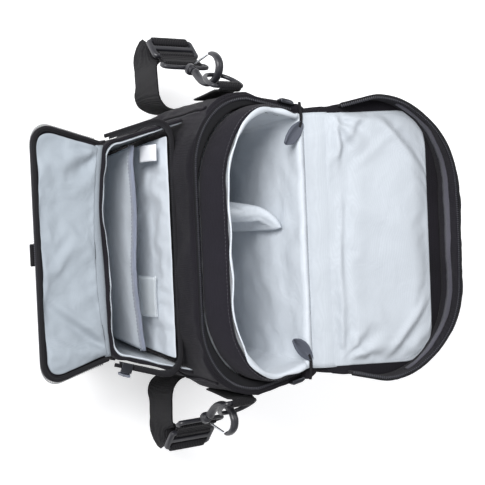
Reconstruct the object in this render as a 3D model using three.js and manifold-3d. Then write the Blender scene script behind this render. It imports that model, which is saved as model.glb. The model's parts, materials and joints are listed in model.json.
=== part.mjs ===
// Soft camera shoulder bag, shown open: padded body with a zipped top lid, a zipped front pocket,
// a padded divider, and a shoulder strap clipped on with swivel hooks. Millimetres, +Z up.
// Origin: middle of the flat underside. +X is the bag's width, -Y is the front (pocket side).
import * as THREE from "three";
import Module from "manifold-3d";

const wasm = await Module();
wasm.setup();

// ---------- driving dimensions ----------
// Plan outlines: half widths at the front and rear of the sides, Y of front and back, front
// corner radius (cornerX is its radius along X where the corner is an ellipse), rear radius.
const BODY = { halfFront: 121, halfRear: 112, frontY: -64, backY: 38,
  cornerR: 52, cornerX: 60, rearR: 12 }; // middle of the wall at the zip line
const LID = { halfFront: 117, halfRear: 111, frontY: -64, backY: 41,
  cornerR: 61, cornerX: 74, rearR: 3 };
const LID_GUSSET = { ...LID, backY: 38, rearR: 12 };
const LID_PAD = { ...LID, backY: 38, rearR: 8 };
const COLLAR_RIM = { halfFront: 113.5, halfRear: 107.5, frontY: -51.5, backY: 38,
  cornerR: 50, cornerX: 66, rearR: 12 }; // outer line of the collar's top
const FOOT = { halfFront: 103, halfRear: 99, frontY: -48, backY: 38,
  cornerR: 40, rearR: 12 }; // middle of the wall at the floor

const WALL = 8; // padded wall thickness
const HALF_WALL = WALL / 2;
const BASE_THICK = 6;
const ZIP_FRONT_Z = 178; // main zip along the front
const ZIP_BACK_Z = 191; // main zip where it ends beside the hinge
const ZIP_RISE_Y = -30; // where the main zip starts to climb towards the back
const ZIP_END_Y = BODY.backY - BODY.rearR;
const RIM_FRONT_Z = 198; // top of the collar
const RIM_SIDE_Z = 196.3;
const LID_HINGE = { y: 43, z: 204 };
const LID_OPEN = 158; // degrees the lid stands open from shut
const LID_TOP = 206;
const LID_UNDER = LID_TOP - 3.1; // just below the lid panel

// Mouth of the front pocket: it slopes up from the flap's hinge to the rear and widens on the way.
const POCKET = { halfFront: 87, halfRear: 104, cornerR: 16,
  hingeY: -124, hingeZ: 133, rearY: -68.4, rearZ: 150 };
const POCKET_SLOPE = Math.atan2(POCKET.rearZ - POCKET.hingeZ, POCKET.rearY - POCKET.hingeY);
const POCKET_FOOT = 80; // half width at the foot of the pocket
const FLAP_LENGTH = 57.5;
const FLAP_OPEN = 169; // degrees the pocket flap stands open from shut

const WEBBING_WIDTH = 38; // shoulder strap

const SIDES = [["left", -1], ["right", 1]]; // name, sign of X
const rad = (degrees) => (degrees * Math.PI) / 180;
const vec = (x, y, z) => new THREE.Vector3(x, y, z);
const Y_AXIS = vec(0, 1, 0);
const Z_AXIS = vec(0, 0, 1);

// ---------- materials ----------
const standard = (settings) => new THREE.MeshStandardMaterial(settings);
const MAT = {
  shell: standard({ color: 0x1b1a1f, roughness: 0.85 }),
  lining: standard({ color: 0xb9c0c6, roughness: 0.75 }),
  zip: standard({ color: 0x101013, roughness: 0.45 }),
  webbing: standard({ color: 0x161518, roughness: 0.8 }),
  plastic: standard({ color: 0x232226, roughness: 0.42 }),
  rubber: standard({ color: 0x4a4c55, roughness: 0.6 }),
  steel: standard({ color: 0xb9bbc0, roughness: 0.3, metalness: 1 }),
  binding: standard({ color: 0x7d8390, roughness: 0.8 }),
  label: standard({ color: 0xf0f1f4, roughness: 0.7 }),
  clear: standard({ color: 0xc9d0d4, roughness: 0.2, transparent: true, opacity: 0.4 }),
};

// ---------- geometry helpers ----------
const root = new THREE.Group();
function add(name, geometry, material, parent = root) {
  const mesh = new THREE.Mesh(geometry, material);
  mesh.name = name;
  parent.add(mesh);
}

// Signed volume of a triangle mesh; negative when the faces point inwards.
function volumeOf(positions, indices) {
  const corner = (i) => vec().fromArray(positions, indices[i] * 3);
  let volume = 0;
  for (let i = 0; i < indices.length; i += 3) {
    volume += corner(i).dot(corner(i + 1).cross(corner(i + 2)));
  }
  return volume / 6;
}

// A closed skin through rings of equal count; the ends are capped, or the rings join in a loop.
function loft(rings, loop = false) {
  const count = rings[0].length;
  const positions = rings.flat().flatMap((p) => [p.x, p.y, p.z]);
  const indices = [];
  const spans = loop ? rings.length : rings.length - 1;
  for (let i = 0; i < spans; i++) {
    const a = i * count;
    const b = ((i + 1) % rings.length) * count;
    for (let k = 0; k < count; k++) {
      const next = (k + 1) % count;
      indices.push(a + k, a + next, b + next, a + k, b + next, b + k);
    }
  }
  // Four-sided ends are split in two; larger ones fan out from a centre point.
  const cap = (ringIndex, flip) => {
    const start = ringIndex * count;
    const triangle = (a, b, c) => indices.push(...(flip ? [a, c, b] : [a, b, c]));
    if (count <= 4) {
      for (let k = 1; k < count - 1; k++) triangle(start, start + k, start + k + 1);
      return;
    }
    const centre = rings[ringIndex].reduce((sum, p) => sum.add(p), vec(0, 0, 0));
    centre.divideScalar(count);
    const centreIndex = positions.length / 3;
    positions.push(centre.x, centre.y, centre.z);
    for (let k = 0; k < count; k++) triangle(centreIndex, start + k, start + ((k + 1) % count));
  };
  if (!loop) {
    cap(0, true);
    cap(rings.length - 1, false);
  }
  if (volumeOf(positions, indices) < 0) {
    for (let i = 0; i < indices.length; i += 3) {
      [indices[i + 1], indices[i + 2]] = [indices[i + 2], indices[i + 1]];
    }
  }
  const geometry = new THREE.BufferGeometry();
  geometry.setAttribute("position", new THREE.Float32BufferAttribute(positions, 3));
  geometry.setIndex(indices);
  geometry.computeVertexNormals();
  return geometry;
}

function box(x0, x1, y0, y1, z0, z1) {
  return new THREE.BoxGeometry(x1 - x0, y1 - y0, z1 - z0)
    .translate((x0 + x1) / 2, (y0 + y1) / 2, (z0 + z1) / 2);
}

function extrude(points, depth) {
  const shape = new THREE.Shape(points.map(([x, y]) => new THREE.Vector2(x, y)));
  return new THREE.ExtrudeGeometry(shape, { depth, bevelEnabled: false });
}

// Direction of travel at one point of a path.
function tangentAt(points, i, loop = false) {
  const count = points.length;
  const before = loop ? (i + count - 1) % count : Math.max(0, i - 1);
  const after = loop ? (i + 1) % count : Math.min(count - 1, i + 1);
  return points[after].clone().sub(points[before]).normalize();
}

// Sweeps a section along points. sectionAt(i) lists [along the across vector, square to it].
function sweep(points, across, sectionAt, loop = false) {
  const rings = points.map((point, i) => {
    const tangent = tangentAt(points, i, loop);
    const a = across.clone().addScaledVector(tangent, -across.dot(tangent)).normalize();
    const b = vec().crossVectors(tangent, a).normalize();
    return sectionAt(i).map(([u, v]) => point.clone().addScaledVector(a, u).addScaledVector(b, v));
  });
  return loft(rings, loop);
}
const bar = (halfWidth, halfThick) => () => [
  [-halfWidth, -halfThick], [halfWidth, -halfThick], [halfWidth, halfThick], [-halfWidth, halfThick],
];
// Points round an oval; turn shifts them by a fraction of a segment.
function oval(radiusA, radiusB, segments = 8, turn = 0) {
  return Array.from({ length: segments }, (_, k) => {
    const angle = ((k + turn) / segments) * 2 * Math.PI;
    return [Math.cos(angle) * radiusA, Math.sin(angle) * radiusB];
  });
}

// Rows on the +X side, outermost first, and a middle row: the full run from -X to +X.
const mirrored = (half, middle) => [
  ...half.map(([x, ...rest]) => [-x, ...rest]),
  middle,
  ...half.slice().reverse(),
];

// Rounded outline, grown by offset, walked from the rear of the left side, round the front, to
// the rear and back. Segment counts are fixed, so outlines of all sizes match point for point.
const SEGMENTS = { side: 3, corner: 7, middle: 4, rear: 3 };
function outline(shape, offset) {
  const grow = (radius) => Math.max(1, radius + offset);
  const halfFront = shape.halfFront + offset;
  const halfRear = shape.halfRear + offset;
  const frontY = shape.frontY - offset;
  const backY = shape.backY + offset;
  const cornerR = grow(shape.cornerR);
  const cornerX = grow(shape.cornerX ?? shape.cornerR);
  const rearR = grow(shape.rearR);
  const sideFrontY = frontY + cornerR;
  const sideRearY = backY - rearR;
  const points = [];
  const line = (x0, y0, x1, y1, steps) => {
    for (let i = 0; i < steps; i++) {
      points.push([x0 + ((x1 - x0) * i) / steps, y0 + ((y1 - y0) * i) / steps]);
    }
  };
  const arc = (x, y, radiusX, radiusY, startDegrees, steps) => {
    for (let i = 0; i < steps; i++) {
      const angle = rad(startDegrees + (90 * i) / steps);
      points.push([x + radiusX * Math.cos(angle), y + radiusY * Math.sin(angle)]);
    }
  };
  const { side, corner, middle, rear } = SEGMENTS;
  line(-halfRear, sideRearY, -halfFront, sideFrontY, side);
  arc(-halfFront + cornerX, sideFrontY, cornerX, cornerR, 180, corner);
  line(-halfFront + cornerX, frontY, halfFront - cornerX, frontY, middle);
  arc(halfFront - cornerX, sideFrontY, cornerX, cornerR, 270, corner);
  line(halfFront, sideFrontY, halfRear, sideRearY, side);
  arc(halfRear - rearR, sideRearY, rearR, rearR, 0, rear);
  line(halfRear - rearR, backY, -halfRear + rearR, backY, middle);
  arc(-halfRear + rearR, sideRearY, rearR, rearR, 90, rear);
  return points;
}

// Outline points where one part of the bag ends and the next starts.
const LEFT_REAR = 0;
const LEFT_FRONT = SEGMENTS.side;
const RIGHT_FRONT = LEFT_FRONT + 2 * SEGMENTS.corner + SEGMENTS.middle;
const RIGHT_REAR = RIGHT_FRONT + SEGMENTS.side;
const FULL_TURN = RIGHT_REAR + 2 * SEGMENTS.rear + SEGMENTS.middle;

// An outline lifted to height z, a number or a function of y.
const track = (shape, offset, z) =>
  outline(shape, offset).map(([x, y]) => vec(x, y, typeof z === "function" ? z(y) : z));

// Solid between matching corner tracks over a run of stations, shortened by gap at both ends.
function trackSolid(tracks, first, last, gap = 0.3) {
  const rings = [];
  for (let i = first; i <= last; i++) {
    rings.push(tracks.map((points) => points[i % points.length].clone()));
  }
  const trim = (end, neighbour) => end.forEach((point, k) => {
    const step = neighbour[k].clone().sub(point);
    point.addScaledVector(step, gap / step.length());
  });
  trim(rings[0], rings[1]);
  trim(rings.at(-1), rings.at(-2));
  return loft(rings);
}

function zipZ(y) {
  const climb = Math.min(1, Math.max(0, (y - ZIP_RISE_Y) / (ZIP_END_Y - ZIP_RISE_Y)));
  return ZIP_FRONT_Z + (ZIP_BACK_Z - ZIP_FRONT_Z) * climb;
}
const fromZip = (rise) => (y) => zipZ(y) + rise;
// Follows the zip round the front and sides, and stands at backZ across the back.
const wallTop = (rise, backZ) => (y) => (y > ZIP_END_Y + 0.5 ? backZ : zipZ(y) + rise);

// ---------- body: base board, padded walls, lining, collar ----------
const WALL_FOOT_Z = BASE_THICK + 0.3;
add("base_panel", loft([
  track(FOOT, -9, 0), track(FOOT, 2, 1.2), track(FOOT, HALF_WALL, BASE_THICK),
]), MAT.shell);

const wallTracks = [
  track(FOOT, HALF_WALL, WALL_FOOT_Z), track(FOOT, -HALF_WALL, WALL_FOOT_Z),
  track(BODY, -HALF_WALL, wallTop(-2.2, 196)), track(BODY, HALF_WALL, wallTop(-2.2, 196)),
];
add("front_wall", trackSolid(wallTracks, LEFT_FRONT, RIGHT_FRONT), MAT.shell);
add("left_end_wall", trackSolid(wallTracks, LEFT_REAR, LEFT_FRONT), MAT.shell);
add("right_end_wall", trackSolid(wallTracks, RIGHT_FRONT, RIGHT_REAR), MAT.shell);
add("back_wall", trackSolid(wallTracks, RIGHT_REAR, FULL_TURN), MAT.shell);

const LINING_OUTER = -HALF_WALL - 0.4;
const LINING_INNER = -HALF_WALL - 3;
const liningTop = wallTop(-2.4, 194);
add("compartment_lining", loft([
  track(FOOT, LINING_OUTER, WALL_FOOT_Z), track(BODY, LINING_OUTER, liningTop),
  track(BODY, LINING_INNER, liningTop), track(FOOT, LINING_INNER, BASE_THICK + 5),
]), MAT.lining);

const collar = (rimZ, first, last) => trackSolid([
  track(LID_GUSSET, -2.5, fromZip(-1.9)), track(LID_GUSSET, -7.5, fromZip(-1.9)),
  track(COLLAR_RIM, -4.5, rimZ), track(COLLAR_RIM, 0, rimZ),
], first, last);
add("front_collar", collar(RIM_FRONT_Z, LEFT_FRONT, RIGHT_FRONT), MAT.shell);
add("left_collar", collar(RIM_SIDE_Z, LEFT_REAR, LEFT_FRONT), MAT.shell);
add("right_collar", collar(RIM_SIDE_Z, RIGHT_FRONT, RIGHT_REAR), MAT.shell);

// Strip from the rear of the left side, round the front, to the rear of the right side.
function zipRun(inner, innerOffset, outer, outerOffset, bottom, top) {
  return trackSolid([
    track(outer, outerOffset, bottom), track(inner, innerOffset, bottom),
    track(inner, innerOffset, top), track(outer, outerOffset, top),
  ], LEFT_REAR, RIGHT_REAR, 0.6);
}
add("body_zip", zipRun(LID_GUSSET, -2.2, BODY, 1.2, fromZip(-1.9), fromZip(-0.3)), MAT.zip);

add("lid_hinge_web", box(-100, 100, 42.4, 43.4, 176, 197.5), MAT.shell);

// ---------- divider: upright and padded, curving to the right towards the back ----------
function divider() {
  const halfThick = 4.5;
  const bottomZ = 14;
  const topZ = 176;
  const frontLean = 5.6; // the foot of the front end is set back by the lean of the front wall
  // x, y along the middle, front to back
  const path = [
    [-28, -45.6], [-28, -34], [-27, -16], [-26, 2], [-23, 12], [-17, 20], [-9, 25.4],
  ].map(([x, y]) => vec(x, y, 0));
  return loft(path.map(({ x, y }, i) => {
    const halfX = halfThick * tangentAt(path, i).y;
    const footY = y + (i === 0 ? frontLean : 0);
    return [
      vec(x - halfX, footY, bottomZ), vec(x + halfX, footY, bottomZ),
      vec(x + halfX, y, topZ), vec(x - halfX, y, topZ),
    ];
  }));
}
add("divider", divider(), MAT.lining);

// ---------- lid: modelled shut, then turned open about its hinge ----------
const lid = new THREE.Group();
lid.position.set(0, LID_HINGE.y, LID_HINGE.z);
lid.rotation.x = rad(-LID_OPEN);
root.add(lid);
const addToLid = (name, geometry, material) =>
  add(name, geometry.translate(0, -LID_HINGE.y, -LID_HINGE.z), material, lid);

addToLid("lid_panel", loft([
  track(LID, 0.8, LID_TOP - 2.8), track(LID, 0.8, LID_TOP - 1), track(LID, -2, LID_TOP),
]), MAT.shell);
addToLid("lid_padding", loft([
  track(LID_PAD, -4.5, LID_TOP - 6), track(LID_PAD, -3, LID_TOP - 5),
  track(LID_PAD, -3, LID_UNDER),
]), MAT.lining);
addToLid("lid_gusset",
  zipRun(LID_GUSSET, -1.2, LID_GUSSET, 0.8, fromZip(2.3), LID_UNDER), MAT.shell);
addToLid("lid_zip",
  zipRun(LID_GUSSET, -1.2, LID_GUSSET, 1.2, fromZip(0.3), fromZip(2)), MAT.zip);

// Low grab handle across the top of the lid: x, height above the lid
const HANDLE_PATH = mirrored([[62, 1.6], [52, 1.6], [44, 3.4], [30, 6.6]], [0, 8])
  .map(([x, height]) => vec(x, -10, LID_TOP + height));
addToLid("grab_handle", sweep(HANDLE_PATH, Y_AXIS, bar(12.5, 1.2)), MAT.webbing);

// ---------- main zip sliders with soft pull tabs, parked beside the hinge ----------
function mainSlider(sign) {
  const sideFrontY = BODY.frontY + BODY.cornerR;
  const splay = (BODY.halfFront - BODY.halfRear) / (ZIP_END_Y - sideFrontY);
  // distance out from the body outline, front y, rear y, bottom and top from the zip line
  return loft([
    [1.5, 15, 26, -1.6, 5],
    [4.2, 15, 26, -1.6, 5],
    [5.6, 16.5, 24.5, -0.4, 3.8],
  ].map(([out, y0, y1, bottom, top]) => {
    const corner = (y, rise) =>
      vec(sign * (BODY.halfRear + (ZIP_END_Y - y) * splay + out), y, zipZ(y) + rise);
    return [corner(y0, bottom), corner(y1, bottom), corner(y1, top), corner(y0, top)];
  }));
}

// Plan of a pull, x out from the middle and y: a cord over the rim's corner, then a leaf-shaped
// grip lying inside.
const MAIN_PULL = [
  [116.5, 31.2], [99, 33.2], [93.6, 34.4], [87.5, 31], [81.8, 23], [79.5, 14.5],
  [82.5, 11.6], [88, 13], [94.5, 19.5], [97.8, 26], [99.2, 30.2], [116.5, 28.2],
];
for (const [side, sign] of SIDES) {
  add(`main_slider_${side}`, mainSlider(sign), MAT.steel);
  const plan = MAIN_PULL.map(([x, y]) => [sign * x, y]);
  add(`main_pull_${side}`, extrude(plan, 2.6).translate(0, 0, RIM_SIDE_Z + 0.4), MAT.rubber);
}

// ---------- front pocket ----------
// Flat-ended slab through level rows: half width, y of one face, y of the other, z
const slab = (rows) => loft(rows.map(([half, y0, y1, z]) => [
  vec(-half, y0, z), vec(half, y0, z), vec(half, y1, z), vec(-half, y1, z),
]));

add("pocket_front_panel", slab([
  [POCKET_FOOT, -112, -109, 10],
  [POCKET_FOOT + 3, -119, -116, 50],
  [POCKET.halfFront, -122.6, -119.6, 129],
]), MAT.shell);

function pocketGusset(sign) {
  const thick = 3;
  const footZ = 14;
  // Height just under the plane of the mouth
  const topZ = (y) => POCKET.hingeZ + (y - POCKET.hingeY) * Math.tan(POCKET_SLOPE)
    - 2.2 / Math.cos(POCKET_SLOPE);
  const face = (out) => [
    [POCKET_FOOT - 3, -108.6, footZ],
    [POCKET_FOOT + 3, -51, footZ],
    [POCKET.halfRear + 0.4, -58, topZ(-58)],
    [POCKET.halfFront + 0.4, -119.2, topZ(-119.2)],
  ].map(([x, y, z]) => vec(sign * (x + out), y, z));
  return loft([face(0), face(thick)]);
}
for (const [side, sign] of SIDES) add(`pocket_${side}_gusset`, pocketGusset(sign), MAT.shell);

add("pocket_base", box(-POCKET_FOOT + 4, POCKET_FOOT - 4, -108.6, -54, 10, 13), MAT.shell);
add("pocket_back_lining", slab([[78, -53.6, -55, 14], [93, -68.6, -70, 146]]), MAT.lining);
add("organiser_sleeve", slab([[74, -72, -73.4, 14], [86, -92, -93.4, 122]]), MAT.lining);
add("sleeve_binding", slab([[86, -91.2, -94.2, 122.4], [86, -91.8, -94.8, 129]]), MAT.binding);
add("card_window", box(24, 58, -72.4, -71.4, 101, 127), MAT.clear);
add("woven_label", box(-84, -71, -74.4, -73.4, 116, 143), MAT.label);

// Plane of the pocket's mouth: local y runs from the flap's hinge up to the rear, local z is out.
const mouth = new THREE.Group();
mouth.position.set(0, POCKET.hingeY, POCKET.hingeZ);
mouth.rotation.x = POCKET_SLOPE;
root.add(mouth);
const MOUTH_SPLAY = Math.atan2(POCKET.halfRear - POCKET.halfFront, FLAP_LENGTH);
const widening = (y) => ((POCKET.halfRear - POCKET.halfFront) * y) / FLAP_LENGTH;

// U open to the front, starting at startY and grown by offset
function mouthPath(startY, offset) {
  const steps = 5; // per corner
  const half = POCKET.halfFront + offset;
  const radius = POCKET.cornerR + offset;
  const points = [[-half, startY]];
  for (const [sign, startDegrees] of [[-1, 180], [1, 90]]) {
    for (let i = 0; i <= steps; i++) {
      const angle = rad(startDegrees - (90 * i) / steps);
      points.push([
        sign * (half - radius) + radius * Math.cos(angle),
        FLAP_LENGTH + offset - radius + radius * Math.sin(angle),
      ]);
    }
  }
  points.push([half, startY]);
  return points.map(([x, y]) => [x * (1 + widening(y) / POCKET.halfFront), y]);
}
function mouthStrip(startY, offset0, offset1, z0, z1) {
  const second = mouthPath(startY, offset1);
  return loft(mouthPath(startY, offset0).map(([x, y], i) => [
    vec(x, y, z0), vec(...second[i], z0), vec(...second[i], z1), vec(x, y, z1),
  ]));
}
function mouthPlate(startY, bottomOffset, topOffset, z0, z1) {
  const ring = (offset, z) => mouthPath(startY, offset).map(([x, y]) => vec(x, y, z));
  return loft([ring(bottomOffset, z0), ring(topOffset, z1)]);
}

add("pocket_zip", mouthStrip(8, 0.4, 3, -1.7, 0), MAT.zip, mouth);
const POCKET_SLIDER_Y = 14.5;
add("pocket_slider", box(0.6, 8.2, -4.5, 4.5, 0.3, 3)
  .rotateZ(-MOUTH_SPLAY)
  .translate(POCKET.halfFront + widening(POCKET_SLIDER_Y), POCKET_SLIDER_Y, 0), MAT.steel, mouth);

// Pull hanging at the right side: depth below the mouth's plane, y in that plane
const POCKET_PULL = [
  [-2.6, 13.4], [-2.6, 15.6], [4, 16.2], [6, 17.4], [22, 18], [25, 14.5],
  [22, 11], [6, 11.6], [4, 12.8],
];
add("pocket_pull", extrude(POCKET_PULL, 2).rotateY(Math.PI / 2).translate(101.2, 0, 0),
  MAT.rubber, mouth);

// Flap of the pocket, modelled shut in the mouth's plane, then turned open.
const flap = new THREE.Group();
flap.rotation.x = rad(-360 + FLAP_OPEN);
mouth.add(flap);
add("flap_panel", mouthPlate(3.5, -0.2, -1.2, 0.3, 2), MAT.shell, flap);
add("flap_lining", mouthPlate(4.5, -3.4, -3.4, -1.5, 0), MAT.lining, flap);
add("flap_zip", mouthStrip(6, -2.8, -0.2, -1.7, 0), MAT.zip, flap);
add("flap_pull_tab", box(-9, 9, FLAP_LENGTH - 9, FLAP_LENGTH + 2.6, 2.3, 3.9), MAT.webbing, flap);

// ---------- shoulder strap hardware, one set at each end ----------
const HARDWARE_OUT = 3.6; // added to every x below, to stand the set clear of the wall
const HARDWARE_Y = -22; // middle of the set
const RING_TOP = { x: 127.2, z: 170 }; // straight bar of the ring, along Y
const RING_BOTTOM = { x: 139, z: 149 };
const SWIVEL = { x: 146, z: 119 }; // lower end of the hook, where the swivel post enters
const SWIVEL_AIM = { x: 148.8, z: 112.5 }; // the swivel base points from SWIVEL to here

// Ring tab section from the foot up and over the bar: x, z of one face; x, z of the other
const TAB_HALF_WIDTH = 11;
const TAB_ROWS = [
  [119.2, 136, 121.6, 136], [122.4, 160, 124.8, 160], [122, 166, 124.4, 166],
  [122.2, 172, 124.4, 171.6], [125.6, 175, 126.6, 172.9], [128.6, 175, 128, 172.9],
];
// Hook from the swivel up the bag side, over the ring to the beak: x, z, half thickness
const HOOK_HALF_WIDTH = 4;
const HOOK_STATIONS = [
  [145.6, 121.5, 4.2], [141.5, 125, 3.6], [136.2, 131, 3.4], [133, 138, 3.2],
  [132.4, 144.6, 3], [134.4, 151.6, 3], [139, 157.2, 3], [145.6, 159.6, 3],
  [152, 157.4, 2.8], [156.2, 152, 2.5], [157.4, 146.4, 2],
];
// Swivel post: distance down the swivel's axis, radius
const POST_PROFILE = [[-0.6, 3], [1.2, 3.4], [1.6, 5], [5.4, 5.2], [6.6, 4.4]];
// Slotted loop for the webbing: y from the middle, distance down the swivel's axis
const STRAP_LOOP = [
  [-18, 9], [-8, 8.8], [0, 8.8], [8, 8.8], [18, 9], [22, 10.4], [23, 13.6],
  [22, 17], [18, 18.6], [0, 18.8], [-18, 18.6], [-22, 17], [-23, 13.6], [-22, 10.4],
];
// Adjuster outline: y from the middle, distance along the webbing
const ADJUSTER = [
  [-23.5, -8], [-21.5, -10.4], [21.5, -10.4], [23.5, -8],
  [23.5, 8], [21.5, 10.4], [-21.5, 10.4], [-23.5, 8],
];

// Point finder for a local frame: u along Y, v along the given direction, w square to both.
function localFrame(origin, direction) {
  const normal = Y_AXIS.clone().cross(direction).normalize();
  const at = (u, v, w = 0) => origin.clone()
    .addScaledVector(Y_AXIS, u).addScaledVector(direction, v).addScaledVector(normal, w);
  return { at, normal };
}

// Rounded rectangle of 4 mm rod with its straight side in the tab
function strapRing(place) {
  const top = place(RING_TOP);
  const drop = place(RING_BOTTOM).sub(top);
  const length = drop.length();
  const { at, normal } = localFrame(top, drop.normalize());
  // y from the middle, distance down the ring
  const path = [
    [-12, 0], [0, 0], [12, 0], [14.6, 1], [15.6, 4], [15.2, 10], [13.2, 16.4],
    [9, length - 2], [4, length], [-4, length], [-9, length - 2],
    [-13.2, 16.4], [-15.2, 10], [-15.6, 4], [-14.6, 1],
  ].map(([u, v]) => at(u, v));
  return sweep(path, normal, () => oval(2, 2), true);
}

function toManifold(geometry) {
  return new wasm.Manifold(new wasm.Mesh({
    numProp: 3,
    vertProperties: geometry.attributes.position.array,
    triVerts: new Uint32Array(geometry.index.array),
  }));
}

// Three-bar adjuster: a plate with thinned faces and two windows
function adjuster(at) {
  const level = (w, scale) => ADJUSTER.map(([u, v]) => at(u * scale, v * scale, w));
  const plate = loft([level(-2.2, 0.95), level(-1, 1), level(1, 1), level(2.2, 0.95)]);
  const windowCutter = (v0, v1) => loft([-6, 6].map((w) => [
    at(-19.2, v0, w), at(19.2, v0, w), at(19.2, v1, w), at(-19.2, v1, w),
  ]));
  const cut = toManifold(plate)
    .subtract(toManifold(windowCutter(-7.2, -2)))
    .subtract(toManifold(windowCutter(2, 7.2)))
    .getMesh();
  const geometry = new THREE.BufferGeometry();
  const positions = new Float32Array(cut.vertProperties);
  geometry.setAttribute("position", new THREE.BufferAttribute(positions, 3));
  geometry.setIndex(new THREE.BufferAttribute(new Uint32Array(cut.triVerts), 1));
  geometry.computeVertexNormals();
  return geometry;
}

function addHardware(side, sign) {
  const place = ({ x, y = HARDWARE_Y, z }) => vec(sign * (x + HARDWARE_OUT), y, z);

  // Folded webbing tab on the end wall that holds the ring
  const y0 = HARDWARE_Y - TAB_HALF_WIDTH;
  const y1 = HARDWARE_Y + TAB_HALF_WIDTH;
  add(`ring_tab_${side}`, loft(TAB_ROWS.map(([xa, za, xb, zb]) => [
    place({ x: xa, y: y0, z: za }), place({ x: xa, y: y1, z: za }),
    place({ x: xb, y: y1, z: zb }), place({ x: xb, y: y0, z: zb }),
  ])), MAT.webbing);
  add(`ring_${side}`, strapRing(place), MAT.plastic);

  const hookPath = HOOK_STATIONS.map(([x, z]) => place({ x, z }));
  const hookSection = (i) => oval(HOOK_HALF_WIDTH, HOOK_STATIONS[i][2], 8, 0.5);
  add(`hook_${side}`, sweep(hookPath, Y_AXIS, hookSection), MAT.plastic);

  // Wire gate across the hook's mouth
  const gateFoot = place({ x: 151.4, z: 122 });
  const gateTip = place({ x: 157.2, z: 143.2 });
  const gatePath = [gateFoot, gateFoot.clone().lerp(gateTip, 0.5), gateTip];
  add(`gate_${side}`, sweep(gatePath, Y_AXIS, () => oval(1.1, 1.1)), MAT.steel);

  // Swivel base: a collar under the hook and a slotted loop
  const swivelTop = place(SWIVEL);
  const swivel = localFrame(swivelTop, place(SWIVEL_AIM).sub(swivelTop).normalize());
  add(`swivel_post_${side}`, loft(POST_PROFILE.map(([v, radius]) =>
    oval(radius, radius, 10).map(([u, w]) => swivel.at(u, v, w)))), MAT.plastic);
  const loopPath = STRAP_LOOP.map(([u, v]) => swivel.at(u, v));
  add(`strap_loop_${side}`,
    sweep(loopPath, swivel.normal, () => oval(2.1, 1.8), true), MAT.plastic);

  // Doubled webbing from the loop out to the adjuster
  const outward = vec(sign * 0.78, 0, -0.63).normalize();
  const webStart = swivel.at(0, 21.6);
  const webEnd = webStart.clone().addScaledVector(outward, 6);
  const webPath = [0, 0.5, 1].map((share) => webStart.clone().lerp(webEnd, share));
  add(`end_webbing_${side}`, sweep(webPath, Y_AXIS, bar(18.4, 1.4)), MAT.webbing);

  const adjusterCentre = webEnd.clone().addScaledVector(outward, 11.2);
  add(`adjuster_${side}`, adjuster(localFrame(adjusterCentre, outward).at), MAT.plastic);
}
for (const [side, sign] of SIDES) addHardware(side, sign);

// ---------- shoulder strap: limp webbing lying round the back of the bag, with a pad ----------
// x, y, z along the middle of the webbing, from its end to the back
const STRAP_PATH = mirrored([
  [170, -30, 54], [158, -31, 56.5], [145, -31, 57], [134, -29, 55], [126, -21, 50],
  [122, -6, 42], [121, 14, 33], [121.5, 36, 25.5], [122, 58, 21.4], [121, 80, 20.2],
  [116, 104, 20.2], [102, 130, 20.2], [80, 150, 20.2], [52, 163, 20.2], [24, 168.6, 20.2],
], [0, 169.4, 20.2]).map((point) => vec(...point));
add("shoulder_strap", sweep(STRAP_PATH, Z_AXIS, bar(WEBBING_WIDTH / 2, 0.9)), MAT.webbing);

// Pad against the outer face of the strap: x, y, half height
const PAD_STATIONS = mirrored([
  [104, 131.6, 20], [82, 151.6, 27], [53, 165, 29], [24, 170.8, 30],
], [0, 171.6, 30]);
function shoulderPad() {
  const middleZ = 31;
  const innerOut = 0.4;
  const outerOut = 7;
  const edge = 3; // the outer face is this much shorter at top and bottom
  const path = PAD_STATIONS.map(([x, y]) => vec(x, y, 0));
  return loft(path.map((point, i) => {
    const half = PAD_STATIONS[i][2];
    const tangent = tangentAt(path, i);
    const normal = vec(-tangent.y, tangent.x, 0);
    const corner = (out, z) => point.clone().addScaledVector(normal, out).setZ(z);
    return [
      corner(innerOut, middleZ - half + 0.2), corner(outerOut, middleZ - half + edge),
      corner(outerOut, middleZ + half - edge), corner(innerOut, middleZ + half),
    ];
  }));
}
add("shoulder_pad", shoulderPad(), MAT.shell);

export default root;
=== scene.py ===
"""A padded zip bag with its lid and front pocket flap open, and a shoulder strap behind it.

The bag stands on z = 0 with its front towards -y and its right side towards +x. Shapes are
worked out in millimetres and turned into metres when a mesh is made. The lid is built shut and
turned open about its hinge at the rear; the flap is drawn flat in its own plane.
"""
import json
import math

import bpy
import bmesh
import numpy as np
from mathutils import Matrix, Vector, noise


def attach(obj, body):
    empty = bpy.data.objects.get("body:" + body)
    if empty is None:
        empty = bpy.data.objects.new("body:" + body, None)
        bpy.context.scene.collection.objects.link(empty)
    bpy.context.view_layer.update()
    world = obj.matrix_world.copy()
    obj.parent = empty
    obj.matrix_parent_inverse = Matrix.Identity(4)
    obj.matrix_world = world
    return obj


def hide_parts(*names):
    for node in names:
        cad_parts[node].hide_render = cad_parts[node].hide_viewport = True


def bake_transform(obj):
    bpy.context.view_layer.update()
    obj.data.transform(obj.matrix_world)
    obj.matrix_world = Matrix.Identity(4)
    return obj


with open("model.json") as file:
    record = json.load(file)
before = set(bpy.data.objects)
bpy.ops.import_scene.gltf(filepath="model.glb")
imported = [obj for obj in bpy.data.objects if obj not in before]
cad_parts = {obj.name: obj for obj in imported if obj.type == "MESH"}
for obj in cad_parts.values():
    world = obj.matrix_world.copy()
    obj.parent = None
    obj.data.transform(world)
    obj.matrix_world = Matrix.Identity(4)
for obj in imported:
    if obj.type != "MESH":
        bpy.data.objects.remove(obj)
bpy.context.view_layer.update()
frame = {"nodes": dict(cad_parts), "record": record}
NODES = frame["nodes"]

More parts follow.
